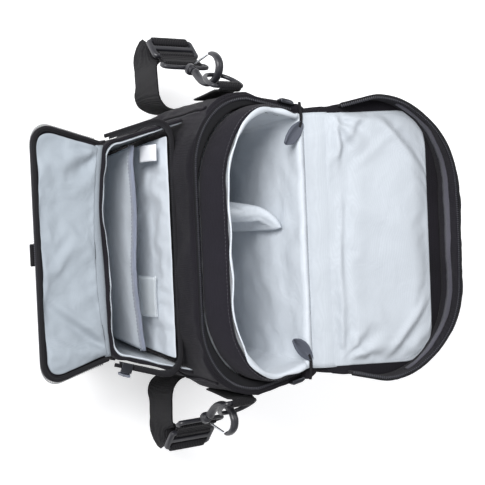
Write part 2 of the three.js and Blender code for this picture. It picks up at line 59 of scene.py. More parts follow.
# ---------------------------------------------------------------- driving dimensions, mm
# Plan outlines: half widths at front and rear, y of front and back, and corner radii.
# radius is the front corner's size along y and radius_x its size along x.
BODY = dict(half=121, rear_half=112, front=-64, back=38, radius=52, radius_x=60, rear_radius=12)
FOOT = dict(half=103, rear_half=99, front=-48, back=38, radius=40, radius_x=40, rear_radius=12)
LID = dict(half=117, rear_half=111, front=-64, back=40, radius=61, radius_x=74, rear_radius=4)
GUSSET = dict(LID, back=38, rear_radius=12)
RIM = dict(half=113.5, rear_half=107.5, front=-51.5, back=38, radius=50, radius_x=66,
           rear_radius=12)
LID_STITCH = dict(half=104.5, rear_half=103.5, front=-50, back=34, radius=27, radius_x=31,
                  rear_radius=4)
# Points on each stretch of an outline
SIDE_N, CORNER_N, FRONT_N, REAR_CORNER_N, REAR_N = 18, 22, 48, 8, 48
OPEN_N = 2 * SIDE_N + 2 * CORNER_N + FRONT_N  # sides and front, without the rear

LID_HINGE_Y, LID_HINGE_Z, LID_OPEN = 43.0, 204.0, math.radians(-158)
LID_TOP, GUSSET_TOP = 206.0, 204.0
FLAP_HINGE_Y, FLAP_HINGE_Z = -124.0, 133.0
MOUTH_REAR_Y, MOUTH_REAR_Z = -68.4, 150
MOUTH_SLOPE = math.atan2(MOUTH_REAR_Z - FLAP_HINGE_Z, MOUTH_REAR_Y - FLAP_HINGE_Y)
FLAP_OPEN = MOUTH_SLOPE + math.radians(169)
FLAP_LENGTH, FLAP_SPREAD = 57.5, 17.0  # the flap's half width grows by the spread over its length
UP = (0, 0, 1)
FORWARD = (0, -1, 0)
SIDES = (("left", -1), ("right", 1))


# ---------------------------------------------------------------- numbers and places
def clamp01(value):
    return min(1, max(0, value))


def lerp(start, end, t):
    return start + (end - start) * t


def ramp(start, end, value):
    """Smooth step from 0 at start to 1 at end; start may be the larger."""
    t = clamp01((value - start) / (end - start))
    return t * t * (3 - 2 * t)


def bell(value, centre, width):
    return math.exp(-(((value - centre) / width) ** 2))


def ripple(x, y, z, size, octaves, seed=0.0):
    """Fractal noise with features of about the given size."""
    place_ = Vector((x / size + seed, y / size - seed * 0.7, z / size + seed * 0.3))
    return noise.fractal(place_, 1.0, 2.0, octaves)


def signed_power(value, power):
    return math.copysign(abs(value) ** power, value)


def corner_cut(t):
    """Inset of a unit quarter circle at distance t from its end, none from t = 1 on."""
    t = min(1.0, t)
    return 1 - math.sqrt(max(0.0, 1 - (1 - t) ** 2))


def arch(start, middle, end, t):
    """Point on a quadratic curve."""
    return tuple(start * (1 - t) ** 2 + middle * 2 * t * (1 - t) + end * t * t)


def grid_of(rows, columns, point):
    """Rows of point(u, v), with u running 0 to 1 along a row and v from row to row."""
    return [[point(j / (columns - 1), k / (rows - 1)) for j in range(columns)]
            for k in range(rows)]


def turned(y0, z0, angle):
    """Map from a plane through (y0, z0), turned by angle about x, to the bag."""
    cos, sin = math.cos(angle), math.sin(angle)
    return lambda p: (p[0], y0 + p[1] * cos - p[2] * sin, z0 + p[1] * sin + p[2] * cos)


lid_plane = turned(LID_HINGE_Y, LID_HINGE_Z, LID_OPEN)
mouth_map = turned(FLAP_HINGE_Y, FLAP_HINGE_Z, MOUTH_SLOPE)
flap_map = turned(FLAP_HINGE_Y, FLAP_HINGE_Z, FLAP_OPEN)


def lid_map(point):
    """From the shut lid to the open one."""
    return lid_plane((point[0], point[1] - LID_HINGE_Y, point[2] - LID_HINGE_Z))


LID_UP = lid_map(UP)  # a fixed direction for the sections and stitches on the lid


def outline(plan, offset=0.0):
    """Plan outline from the rear of the left side, round the front, then across the rear.

    Each point is (x, y, outward x, outward y).
    """
    half, rear_half, back = (plan[key] + offset for key in ("half", "rear_half", "back"))
    front = plan["front"] - offset
    radius, radius_x, rear_radius = (
        max(1, plan[key] + offset) for key in ("radius", "radius_x", "rear_radius"))
    points = []

    def line(x0, y0, x1, y1, count, out_x, out_y):
        for i in range(count):
            t = i / count
            points.append((lerp(x0, x1, t), lerp(y0, y1, t), out_x, out_y))

    def arc(x, y, size_x, size_y, start, count):
        for i in range(count):
            angle = math.radians(start + 90 * i / count)
            cos, sin = math.cos(angle), math.sin(angle)
            length = math.hypot(cos / size_x, sin / size_y)
            points.append((x + size_x * cos, y + size_y * sin,
                           cos / size_x / length, sin / size_y / length))

    corner_x, corner_y = half - radius_x, front + radius
    rear_x, rear_y = rear_half - rear_radius, back - rear_radius
    line(-rear_half, rear_y, -half, corner_y, SIDE_N, -1, 0)
    arc(-corner_x, corner_y, radius_x, radius, 180, CORNER_N)
    line(-corner_x, front, corner_x, front, FRONT_N, 0, -1)
    arc(corner_x, corner_y, radius_x, radius, 270, CORNER_N)
    line(half, corner_y, rear_half, rear_y, SIDE_N, 1, 0)
    arc(rear_x, rear_y, rear_radius, rear_radius, 0, REAR_CORNER_N)
    line(rear_x, back, -rear_x, back, REAR_N, 0, 1)
    arc(-rear_x, rear_y, rear_radius, rear_radius, 90, REAR_CORNER_N)
    return points


def between(first, second, t):
    return lerp(first[0], second[0], t), lerp(first[1], second[1], t)


def push(point, way, amount, z):
    """point moved outwards in plan by amount, square to the outline at the point way."""
    return (point[0] + way[2] * amount, point[1] + way[3] * amount, z)


def ring(offset, z, mix=1.0, stand=None):
    """Outline at an offset, from the foot (mix 0) to the body's top (mix 1).

    z is a height or a function of x, y; stand(x, y, z) moves the points outwards.
    """
    points = []
    for top, foot in zip(outline(BODY, offset), outline(FOOT, offset)):
        x, y = between(foot, top, mix)
        height = z(x, y) if callable(z) else z
        points.append(push((x, y), top, stand(x, y, height) if stand else 0, height))
    return points


# ---------------------------------------------------------------- mesh helpers
def make_object(name, points, faces, material):
    mesh = bpy.data.meshes.new(name)
    mesh.from_pydata([tuple(c * 0.001 for c in point) for point in points], [], faces)
    mesh.validate()
    bm = bmesh.new()
    bm.from_mesh(mesh)
    bmesh.ops.remove_doubles(bm, verts=bm.verts, dist=1e-6)
    bmesh.ops.recalc_face_normals(bm, faces=bm.faces)
    bm.to_mesh(mesh)
    bm.free()
    for face in mesh.polygons:
        face.use_smooth = True
    ob = bpy.data.objects.new(name, mesh)
    bpy.context.scene.collection.objects.link(ob)
    mesh.materials.append(material)
    return ob


def skin(name, rings, material, loop=False):
    """Closed skin through equal rings: capped at both ends by fans, or joined in a loop."""
    count, n = len(rings), len(rings[0])
    points = [point for one in rings for point in one]
    faces = []
    for i in range(count if loop else count - 1):
        a, b = i * n, ((i + 1) % count) * n
        for k in range(n):
            faces.append((a + k, a + (k + 1) % n, b + (k + 1) % n, b + k))
    if not loop:
        for start, end_ring in ((0, rings[0]), ((count - 1) * n, rings[-1])):
            centre = len(points)
            points.append(tuple(sum(point[j] for point in end_ring) / n for j in range(3)))
            for k in range(n):
                faces.append((start + k, start + (k + 1) % n, centre))
    return make_object(name, points, faces, material)


def sheet(name, grid, thickness, material, facing):
    """Closed slab on a grid of points; the grid is the face on the side of facing."""
    m, n = len(grid), len(grid[0])
    face = np.array(grid, float)
    normal = np.cross(np.gradient(face, axis=0), np.gradient(face, axis=1))
    normal /= np.maximum(np.linalg.norm(normal, axis=2, keepdims=True), 1e-9)
    if (normal.reshape(-1, 3) @ np.array(facing)).sum() < 0:
        normal = -normal
    back = face - normal * thickness
    points = [tuple(p) for side in (face, back) for p in side.reshape(-1, 3)]
    faces = []
    other = m * n
    for i in range(m - 1):
        for j in range(n - 1):
            a = i * n + j
            faces.append((a, a + 1, a + n + 1, a + n))
            faces.append((other + a, other + a + n, other + a + n + 1, other + a + 1))
    edge = list(range(n)) + [i * n + n - 1 for i in range(1, m)]
    edge += [(m - 1) * n + j for j in range(n - 2, -1, -1)] + [i * n for i in range(m - 2, 0, -1)]
    for a, b in zip(edge, edge[1:] + edge[:1]):
        faces.append((a, b, other + b, other + a))
    return make_object(name, points, faces, material)


def frames(path, up, loop=False):
    """For each path point: place, direction, the up side square to it, and the cross side."""
    points = [Vector(p) for p in path]
    n = len(points)
    out = []
    for i, point in enumerate(points):
        before = points[(i - 1) % n] if loop else points[max(0, i - 1)]
        after = points[(i + 1) % n] if loop else points[min(n - 1, i + 1)]
        along = (after - before).normalized()
        guide = Vector(up[i] if isinstance(up, list) else up)
        side = (guide - along * guide.dot(along)).normalized()
        out.append((point, along, side, along.cross(side).normalized()))
    return out


def rod(name, path, up, half_up, half_cross, material, points=10, loop=False, power=2.0):
    """Rod along a path. half_up (a number or a list) is its half size along up and half_cross
    the one square to it. A power above 2 squares off the section."""
    rings = []
    for i, (centre, _, side, cross) in enumerate(frames(path, up, loop)):
        size = half_up[i] if isinstance(half_up, list) else half_up
        section = []
        for k in range(points):
            angle = 2 * math.pi * k / points
            cos = signed_power(math.cos(angle), 2 / power)
            sin = signed_power(math.sin(angle), 2 / power)
            section.append(tuple(centre + side * (cos * size) + cross * (sin * half_cross)))
        rings.append(section)
    return skin(name, rings, material, loop)


def spline(path, step):
    """Smooth curve through points, sampled about every step mm."""
    P = [Vector(p) for p in path]
    out = []
    for i in range(len(P) - 1):
        p0, p1, p2, p3 = P[max(0, i - 1)], P[i], P[i + 1], P[min(len(P) - 1, i + 2)]
        count = max(1, int((p2 - p1).length / step))
        for j in range(count):
            t = j / count
            out.append(tuple(0.5 * (
                (2 * p1) + (p2 - p0) * t + (2 * p0 - 5 * p1 + 4 * p2 - p3) * t * t
                + (3 * p1 - p0 - 3 * p2 + p3) * t ** 3)))
    out.append(tuple(P[-1]))
    return out


def evenly_spaced(path, pitch):
    """(point, direction) pairs every pitch along a path."""
    points = [Vector(p) for p in path]
    out, distance = [], 0.0
    for a, b in zip(points, points[1:]):
        length = (b - a).length
        if length < 1e-6:
            continue
        direction = (b - a) / length
        while distance < length:
            out.append((a + direction * distance, direction))
            distance += pitch
        distance -= length
    return out


def beads(name, path, up, half_size, pitch, material):
    """Row of small rounded blocks for zip coils and stitches.

    half_size is (length, width, height).
    """
    length, width, height = half_size
    points, faces = [], []
    for centre, along in evenly_spaced(path, pitch):
        rise = Vector(up)
        rise = rise - along * rise.dot(along)
        if rise.length < 1e-6:
            continue
        rise.normalize()
        side = along.cross(rise)
        base = len(points)
        for end, scale in ((-1, 0.55), (0, 1.0), (1, 0.55)):
            for q in range(6):
                angle = math.pi * 2 * q / 6
                points.append(tuple(
                    centre + along * (end * length)
                    + side * (width * scale * math.cos(angle))
                    + rise * (height * scale * math.sin(angle))))
        for start in (base, base + 6):
            for q in range(6):
                turn = (q + 1) % 6
                faces.append((start + q, start + turn, start + 6 + turn, start + 6 + q))
        faces.append(tuple(base + q for q in range(6)))
        faces.append(tuple(base + 12 + q for q in range(6)))
    return make_object(name, points, faces, material)


def soften(ob):
    modifier = ob.modifiers.new("s", "SUBSURF")
    modifier.levels = modifier.render_levels = 1
    return ob


# ---------------------------------------------------------------- cloth simulation
def run_cloth(cloth, frame_count):
    cloth.point_cache.frame_end = frame_count
    for k in range(1, frame_count + 1):
        bpy.context.scene.frame_set(k)


def evaluated(ob):
    return ob.evaluated_get(bpy.context.evaluated_depsgraph_get())


def capped(start, end, cap):
    """end, with no point further than cap from start."""
    moved = end - start
    length = np.linalg.norm(moved, axis=1, keepdims=True)
    return start + moved * np.minimum(1, cap / np.maximum(length, 1e-9))


def puff(ob, voxel, pressure, cap, frame_count):
    """Swell an object as pressurised cloth on a remeshed copy. voxel and cap are in metres."""
    remesh = ob.modifiers.new("r", "REMESH")
    remesh.mode = "VOXEL"
    remesh.voxel_size = voxel
    mesh = bpy.data.meshes.new_from_object(evaluated(ob))
    ob.modifiers.clear()
    ob.data = mesh
    start = np.array([v.co for v in mesh.vertices])
    cloth = ob.modifiers.new("c", "CLOTH")
    settings = cloth.settings
    settings.quality = 5
    settings.mass = 0.15
    settings.use_pressure = True
    settings.uniform_pressure_force = pressure
    settings.effector_weights.gravity = 0
    settings.tension_stiffness = settings.compression_stiffness = 12
    run_cloth(cloth, frame_count)
    done = bpy.data.meshes.new_from_object(evaluated(ob))
    ob.modifiers.clear()
    bpy.context.scene.frame_set(1)
    end = capped(start, np.array([v.co for v in done.vertices]), cap)
    done.vertices.foreach_set("co", end.astype(np.float32).ravel())
    ob.data = done
    for face in ob.data.polygons:
        face.use_smooth = True
    return soften(ob)


def drape(grid, grow, frame_count, bend, cap=3.0):
    """Settle a grid of cloth that is pinned round its border and cut too large by grow."""
    m, n = len(grid), len(grid[0])
    mesh = bpy.data.meshes.new("drape")
    mesh.from_pydata(
        [tuple(c * 0.001 for c in p) for row in grid for p in row], [],
        [(i * n + j, i * n + j + 1, (i + 1) * n + j + 1, (i + 1) * n + j)
         for i in range(m - 1) for j in range(n - 1)])
    ob = bpy.data.objects.new("drape", mesh)
    bpy.context.scene.collection.objects.link(ob)
    border = [i * n + j for i in range(m) for j in range(n) if i in (0, m - 1) or j in (0, n - 1)]
    ob.vertex_groups.new(name="pin").add(border, 1.0, "REPLACE")
    cloth = ob.modifiers.new("c", "CLOTH")
    settings = cloth.settings
    settings.quality = 6
    settings.mass = 0.12
    settings.air_damping = 4
    settings.tension_stiffness = settings.compression_stiffness = 18
    settings.shear_stiffness = 6
    settings.bending_stiffness = bend
    settings.vertex_group_mass = "pin"
    settings.shrink_min = -grow
    settings.effector_weights.gravity = 0
    run_cloth(cloth, frame_count)
    end = np.array([v.co for v in evaluated(ob).to_mesh().vertices]) * 1000
    bpy.context.scene.frame_set(1)
    bpy.data.objects.remove(ob)
    start = np.array([p for row in grid for p in row], float)
    settled = capped(start, end, cap).reshape(m, n, 3)
    return [[tuple(p) for p in row] for row in settled]


# ---------------------------------------------------------------- materials
def linear(colour):
    """Linear RGB from a #rrggbb colour."""
    channels = [int(colour[i:i + 2], 16) / 255 for i in (1, 3, 5)]
    return tuple(c / 12.92 if c < 0.04045 else ((c + 0.055) / 1.055) ** 2.4 for c in channels)


class Surface:
    """A new material with its principled shader and object coordinates."""

    def __init__(self, name):
        self.material = bpy.data.materials.new(name)
        self.material.use_nodes = True
        self.tree = self.material.node_tree
        self.shader = self.tree.nodes["Principled BSDF"]
        self.coords = self.add("TexCoord").outputs["Object"]

    def connect(self, socket, source):
        if isinstance(source, bpy.types.NodeSocket):
            self.tree.links.new(source, socket)
        else:
            socket.default_value = source

    def feed(self, node, **inputs):
        """Set or link inputs by name, with _ for a space."""
        for key, source in inputs.items():
            self.connect(node.inputs[key.replace("_", " ")], source)

    def add(self, kind, **inputs):
        node = self.tree.nodes.new("ShaderNode" + kind)
        self.feed(node, **inputs)
        return node

    def noise(self, **inputs):
        return self.add("TexNoise", Vector=self.coords, **inputs).outputs["Fac"]

    def remap(self, value, **limits):
        return self.add("MapRange", Value=value, **limits).outputs[0]

    def bump(self, height, **inputs):
        return self.add("Bump", Height=height, **inputs).outputs[0]

    def math(self, operation, *values):
        node = self.add("Math")
        node.operation = operation
        for socket, value in zip(node.inputs, values):
            self.connect(socket, value)
        return node.outputs[0]

    def tint(self, colour, factor):
        """The colour times a varying factor."""
        node = self.add("VectorMath")
        node.operation = "SCALE"
        self.feed(node, Vector=linear(colour), Scale=factor)
        return node.outputs[0]


def weave_height(surface, weave, kind):
    """Height of the yarns, with a weave period in mm along the object axes."""
    x, y, z = surface.add("SeparateXYZ", Vector=surface.coords).outputs
    combine = surface.math

    def wave(value, period=weave):
        turns = combine("MULTIPLY_ADD", value, 2 * math.pi / (period * 0.001), 0.0)
        return combine("SINE", turns)

    if kind == "twill":
        diagonal = combine("ADD", combine("ADD", x, y), z)
        cross = combine("MULTIPLY", combine("MULTIPLY", wave(x), wave(z)), 0.5)
        return combine("ADD", wave(diagonal, weave * 1.6), cross)
    if kind == "web":
        rib_z, rib_y = (combine("MULTIPLY", wave(axis), 0.8) for axis in (z, y))
        return combine("ADD", rib_z, rib_y)
    wave_x, wave_y, wave_z = wave(x), wave(y), wave(z)
    sides = combine("ADD", combine("MULTIPLY", wave_x, wave_y), combine("MULTIPLY", wave_y, wave_z))
    return combine("ADD", sides, combine("MULTIPLY", wave_x, wave_z))


def cloth(name, colour, rough, weave, bump, vary, sheen=0.3, kind="plain", spec=0.3, wrinkle=0.0):
    """Woven cloth; vary is how far the colour drifts and wrinkle the depth of soft creases."""
    surface = Surface(name)
    cloudy = surface.noise(Scale=25, Detail=5)
    drift = surface.remap(cloudy, From_Min=0.3, From_Max=0.7, To_Min=1 - vary, To_Max=1 + vary)
    yarns = weave_height(surface, weave, kind)
    fleck = surface.math("MULTIPLY_ADD", yarns, 0.05, 1.0)
    fuzz = surface.noise(Scale=900, Detail=2)
    normal = surface.bump(surface.math("ADD", yarns, fuzz), Strength=bump, Distance=0.0004)
    if wrinkle:
        creases = surface.noise(Scale=38, Detail=3, Distortion=0.8)
        normal = surface.bump(creases, Strength=wrinkle, Distance=0.004, Normal=normal)
    surface.feed(
        surface.shader,
        Base_Color=surface.tint(colour, surface.math("MULTIPLY", drift, fleck)),
        Normal=normal,
        Roughness=surface.remap(cloudy, To_Min=rough - 0.08, To_Max=min(1, rough + 0.08)),
        Sheen_Weight=sheen,
        Sheen_Roughness=0.5,
        Specular_IOR_Level=spec)
    return surface.material


def hard(name, colour, rough, bump, metal=0.0, grain=600, alpha=1.0):
    """Plastic, rubber or metal; edges that stand proud are painted lighter, a painted highlight."""
    surface = Surface(name)
    cloudy = surface.noise(Scale=60, Detail=6)
    pointiness = surface.add("NewGeometry").outputs["Pointiness"]
    # painted highlight: convex edges are made lighter in the base colour
    painted_edge_highlight = surface.remap(pointiness, From_Min=0.52, From_Max=0.62, To_Min=0, To_Max=0.5)
    drift = surface.remap(cloudy, To_Min=1 - 0.12, To_Max=1 + 0.12)
    surface.feed(
        surface.shader,
        Base_Color=surface.tint(colour, surface.math("ADD", drift, painted_edge_highlight)),
        Normal=surface.bump(surface.noise(Scale=grain), Strength=bump, Distance=0.0003),
        Roughness=surface.remap(cloudy, To_Min=rough - 0.1, To_Max=rough + 0.1),
        Metallic=metal,
        Specular_IOR_Level=0.5,
        Alpha=alpha)
    return surface.material


PALE = dict(rough=0.62, weave=0.9, bump=0.14, spec=0.35)  # shared by all the linings
SHELL = cloth("shell_cloth", "#18161c", rough=0.9, sheen=0.04, weave=1.5, bump=0.45, vary=0.22,
              wrinkle=0.25, spec=0.22)
COLLAR = cloth("collar_cloth", "#1c1a21", rough=0.9, sheen=0.05, weave=1.2, bump=0.4, vary=0.18,
               wrinkle=0.22, spec=0.2)
LINING = cloth("lining_cloth", "#c6ccd3", sheen=0.15, vary=0.035, wrinkle=0.35, **PALE)
POCKET_LINING = cloth("pocket_lining_cloth", "#bac1c9", sheen=0.15, vary=0.04, wrinkle=0.35,
                      **PALE)
BINDING = cloth("edge_binding", "#151418", rough=0.8, sheen=0.03, weave=1.0, bump=0.5, vary=0.15,
                kind="web", spec=0.25)
GREY_TAPE = cloth("grey_tape", "#7c8292", rough=0.8, weave=0.9, bump=0.5, vary=0.08, kind="web")
WEBBING = cloth("strap_webbing", "#121115", rough=0.82, sheen=0.03, weave=1.8, bump=0.8,
                vary=0.15, kind="web", spec=0.28)
ZIP_TAPE = cloth("zip_tape_cloth", "#121216", rough=0.75, sheen=0.02, weave=0.8, bump=0.5,
                 vary=0.1, kind="twill")
# painted shade: a darker copy of the lining for the flap, which tilts away from the light
SHADED_FLAP_LINING = cloth("flap_lining_painted_shade", "#929aa2", sheen=0.12, vary=0.045, wrinkle=0.35, **PALE)
# painted shade: a darker copy of the lining for the lid, which faces the lights and rendered too
# bright
SHADED_LID_LINING = cloth("lid_lining_painted_shade", "#b3b9c0", sheen=0.12, vary=0.035, wrinkle=0.3, **PALE)
SEAM_TAPE = cloth("seam_tape", "#4b4a53", rough=0.75, sheen=0.1, weave=0.8, bump=0.5, vary=0.25,
                  kind="twill")
LABEL = cloth("label_weave", "#eef0f4", rough=0.7, sheen=0.2, weave=0.6, bump=0.3, vary=0.03)
THREAD = cloth("dark_thread", "#34323b", rough=0.6, weave=0.5, bump=0.3, vary=0.1, kind="twill")
PALE_THREAD = cloth("pale_thread", "#aeb5be", rough=0.6, weave=0.5, bump=0.3, vary=0.05,
                    kind="twill")
COIL = hard("zip_coil", "#2b2b31", rough=0.35, bump=0.05)
PLASTIC = hard("moulded_plastic", "#26262b", rough=0.38, bump=0.12)
RUBBER = hard("soft_rubber", "#474b56", rough=0.55, bump=0.25, grain=900)
STEEL = hard("plated_wire", "#c9cbd0", rough=0.28, metal=1.0, bump=0.03)
DARK_METAL = hard("dark_slider", "#3a3b40", rough=0.34, metal=0.9, bump=0.05)
CLEAR = hard("clear_film", "#e4e9ec", rough=0.2, bump=0.1, alpha=0.35)


def place(ob, *nodes, body="root", slot="shell_fabric"):
    """Fix an object to a moving body and name the nodes it replaces; slot is not used."""
    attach(ob, body)
    if nodes:
        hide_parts(*nodes)


def place_between(ob):
    """A piece that lies between two bodies; its transform is baked into its mesh."""
    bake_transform(ob)


# ---------------------------------------------------------------- padded body
def zip_z(y):
    """Height of the main zip, which climbs towards the rear."""
    return 178 + 13 * clamp01((y + 30) / 56)


def wall_top(y, rear, drop):
    """Top of the body wall: level at the rear, a drop below the zip elsewhere."""
    return rear if y > 26.5 else zip_z(y) - drop


def bulge(x, y, z):
    """How far the outer cloth stands out: full at mid height, soft folds below the zip."""
    side = 1.0 if abs(x) > 95 and y > -35 else 0.6
    full = 4.2 * side * math.sin(math.pi * min(1, clamp01(z / 176) * 1.02)) ** 0.8
    fold = ripple(x, y, z, 42, 3, 1.3) * 2.2 + ripple(x, y, z, 15, 2, 4.0) * 0.7
    if y < -20:
        # long creases down the front: centre x, width, height
        for centre, width, height in ((-92, 7, -2.2), (92, 7, -2.2), (-60, 9, 1.2), (64, 11, 1.0)):
            fold += height * bell(x + 0.12 * (z - 100), centre, width) * ramp(40, 120, z)
    # a level dent at mid height, deepest at the sides
    fold -= 1.6 * bell(z, 92 + 6 * math.sin(x / 30), 7) * (1 if abs(x) > 95 else 0.4)
    return full + fold * ramp(2, 20, z)


def body_shell():
    """Under the foot, up the outside, over the top, down the inside and across the floor."""
    rows = [ring(-14, 0.6, 0), ring(-5, 0.25, 0), ring(0, 0.6, 0), ring(2.6, 2.2, 0)]
    rows.append(ring(3.8, 5, 0, bulge))
    for k in range(1, 41):
        v = k / 40
        rows.append(ring(4, lambda x, y: lerp(6, wall_top(y, 196.5, 1.9), v), v, bulge))
    for offset, rear, drop in ((2.6, 196.8, 1.3), (0.2, 196.8, 1.7), (-3.8, 196, 2)):
        rows.append(ring(offset, lambda x, y: wall_top(y, rear, drop)))
    for k in range(9, -1, -1):
        v = k / 10
        rows.append(ring(-3.8, lambda x, y: lerp(8, wall_top(y, 196, 2), v), v))
    rows.append(ring(-40, 7.5, 0))
    place(skin("body_shell", rows, SHELL),
          "front_wall", "back_wall", "left_end_wall", "right_end_wall", "base_panel")


def wall_path(i, z0, z1, stand):
    """Line up the outer wall at outline point i, standing off the cloth."""
    top, foot = outline(BODY, 4)[i], outline(FOOT, 4)[i]
    path = []
    for k in range(51):
        z = lerp(z0, z1, k / 50)
        x, y = between(foot, top, max(0, (z - 6) / (172 - 6)))
        path.append(push((x, y), top, bulge(x, y, z) + stand, z))
    return path


def body_seams():
    """Welts at the four corners, each with a stitch line beside it, and piping at the foot."""
    for name, i in (("seam_front_left", 27),
                    ("seam_front_right", SIDE_N + CORNER_N + FRONT_N + 13),
                    ("seam_rear_left", 1), ("seam_rear_right", OPEN_N - 2)):
        _, _, out_x, out_y = outline(BODY, 4)[i]
        outward = (out_x, out_y, 0)
        place(rod(name, wall_path(i, 8, 171, 0.6), outward, 1.0, 1.5, SHELL, 8))
        stitch = [(x - out_y * 4, y + out_x * 4, z) for x, y, z in wall_path(i, 10, 168, 0.1)]
        place(beads(name + "_stitch", stitch, outward, (1.1, 0.3, 0.28), 3.4, THREAD))
    foot = ring(5.2, 7.5, 0, lambda x, y, z: bulge(x, y, 7) * 0.6)
    place(rod("foot_piping", foot, UP, 1.3, 1.3, BINDING, 8, loop=True))


body_shell()
body_seams()

# ---------------------------------------------------------------- collar and compartment lining
BODY_LINE = outline(BODY)
COLLAR_FOOT, COLLAR_HEAD = outline(GUSSET, -5.2), outline(RIM, -2.4)


def rim_z(y):
    """Height of the collar's rim, a little higher along the front."""
    return 196.6 + 1.6 * ramp(-30, -50, y)


def rim_wave(x, y):
    return ripple(x, y, 5, 28, 2, 7.7) * 1.4


def collar_section(i):
    """Plump closed section of the collar, which leans in above the zip."""
    x, y = BODY_LINE[i][:2]
    low, high = zip_z(y) - 1.6, rim_z(y)
    section = []
    for k in range(22):
        angle = 2 * math.pi * k / 22
        cos = math.cos(angle)
        v = 0.5 + 0.5 * signed_power(math.sin(angle), 0.75)
        half = 2.7 + 0.6 * (1 - abs(2 * v - 1))
        fold = ripple(x, y, v * 22, 24, 3, 2.2) * 1.4 * (0.25 + 0.75 * v)
        stand = half * signed_power(cos, 0.7) + fold * (1 if cos > 0 else 0.4)
        if v < 0.25:
            stand = min(stand, 2.7)
        z = lerp(low, high, v) + rim_wave(x, y) * v * v
        section.append(push(between(COLLAR_FOOT[i], COLLAR_HEAD[i], v), BODY_LINE[i], stand, z))
    return section


def lining_top(i, x, y):
    if i >= OPEN_N:
        return 197.0
    # raised puckers at the sides: centre x, height, width
    pucker = sum(1.6 * height * bell(x, centre, width) for centre, height, width in
                 ((-112, 2.4, 8), (-104, 1.8, 6), (112, 2.6, 8), (100, 1.6, 7)))
    return rim_z(y) + 1.3 + pucker * 0.35 + 0.8 * math.sin(x / 9.0 + y / 7.0)


def lining_fold(i, x, y, z, v):
    """How far the inner face moves inwards (negative) at height fraction v."""
    fold = ripple(x, y, z, 36, 3, 9.1) * 3.6 + ripple(x, y, z, 14, 2, 3.1)
    # creased corners near the top
    corner = -1.7 * bell(abs(x), 104, 5) + 1.2 * bell(abs(x), 92, 6)
    fold += corner * ramp(120, 190, z)
    rear = 1.3 * ramp(0.1, 0.4, v) if i >= OPEN_N else 0
    return -abs(fold) * 0.7 * ramp(0, 0.1, v) - rear


def lining_row(v, inner):
    """Ring of the lining at height fraction v; it moves on to the rim's outline near the zip."""
    offset, rim_offset = (-7.4, -5.3) if inner else (-5.0, -4.7)
    row = []
    for i, (top, foot, rim) in enumerate(
            zip(outline(BODY, offset), outline(FOOT, offset), outline(RIM, rim_offset))):
        x, y = between(foot, top, v)
        z = lerp(11.2, lining_top(i, top[0], top[1]), v)
        zip_height = zip_z(top[1])
        lean = 0 if i >= OPEN_N else ramp(zip_height - 16, zip_height + 8, z)
        x, y = between((x, y), rim, lean)
        stand = lining_fold(i, x, y, z, v) * (1 - 0.55 * lean) if inner else 0
        row.append(push((x, y), top, stand, z))
    return row


def lining_roll(offset, rise):
    """Turned-over edge of the lining on the rim: broad at the sides, narrow along the front."""
    row = []
    for i, (rim, rear, base) in enumerate(zip(outline(RIM), outline(BODY, -5.2), BODY_LINE)):
        x, y = base[:2]
        z = lining_top(i, x, y) + rise
        if i >= OPEN_N:
            row.append((rear[0], rear[1], z))
            continue
        wide = 0.35 + 0.65 * ramp(-46, -20, rim[1])
        pinch = (2.6 * bell(abs(x), 106, 7) - 1.2 * bell(abs(x), 93, 7)
                 + 1.3 * math.sin(y / 5.5 + x / 21) * ramp(-40, -10, y) + 0.7 * math.sin(x / 7.3))
        row.append(push(rim, rim, lerp(-4.7, offset, wide) + pinch * 0.6, z))
    return row


def compartment_lining():
    rows = [ring(-14, 9.6, 0)]
    rows += [lining_row(v, False) for v in (0.0, 0.25, 0.5, 0.75, 0.9, 0.97, 1.0)]
    rows += [lining_roll(-1.6, -0.2), lining_roll(-1.9, 0.8), lining_roll(-3.6, 1.3)]
    rows += [lining_row(k / 44, True) for k in range(44, -1, -1)]
    rows += [ring(-14, 11.0, 0), ring(-28, 10.8, 0)]
    place(skin("compartment_lining_cloth", rows, LINING), "compartment_lining",
          slot="lining_fabric")
    pad = [ring(-11, 11.6, 0), ring(-9, 13, 0), ring(-10, 14.6, 0),
           ring(-16, 15.6, 0, lambda x, y, z: ripple(x, y, 0, 30, 2)), ring(-40, 16.2, 0)]
    place(skin("compartment_floor_pad", pad, LINING), slot="lining_fabric")


place(skin("collar_pad", [collar_section(i) for i in range(OPEN_N + 1)], COLLAR),
      "front_collar", "left_collar", "right_collar")
compartment_lining()
rim_path = [(edge[0], edge[1], rim_z(base[1]) - 0.15 + rim_wave(base[0], base[1]))
            for edge, base in zip(outline(RIM, -0.4), BODY_LINE)][:OPEN_N + 1]
place(beads("rim_stitch", rim_path, UP, (1.1, 0.3, 0.3), 3.2, THREAD))

# ---------------------------------------------------------------- main zip on the body
# Closed section of the tape: fraction of the way from its outer to its inner edge, rise
TAPE_SECTION = ((0, -1.7), (0, -0.7), (0.15, -0.4), (0.5, -0.5),
                (0.85, -0.4), (1, -0.7), (1, -1.7), (0.5, -1.9))


def zip_line(offset, rise):
    """Line round the sides and front at zip height."""
    return [(edge[0], edge[1], zip_z(base[1]) + rise)
            for edge, base in zip(outline(BODY, offset), BODY_LINE)][:OPEN_N + 1]


def body_zip():
    sections = [[(*between(outer, inner, t), outer[2] + rise) for t, rise in TAPE_SECTION]
                for outer, inner in zip(zip_line(1.2, 0), outline(GUSSET, -2.2))]
    place(skin("body_zip_tape", sections, ZIP_TAPE), "body_zip", slot="zip_tape")
    place(beads("body_zip_coil", zip_line(-1.2, -0.15), UP, (0.55, 1.5, 0.55), 1.7, COIL),
          slot="zip_tape")
    welt = spline(zip_line(1.4, -1.2)[::3], 2)
    place(rod("body_zip_welt", welt, UP, 0.7, 1.1, SHELL, 8))


body_zip()


# ---------------------------------------------------------------- lid, built shut
def lid_ring(offset, z, wave=0.0):
    return [lid_map(push(p, p, ripple(p[0], p[1], z, 26, 3, 5.5) * wave, z))
            for p in outline(LID, offset)]


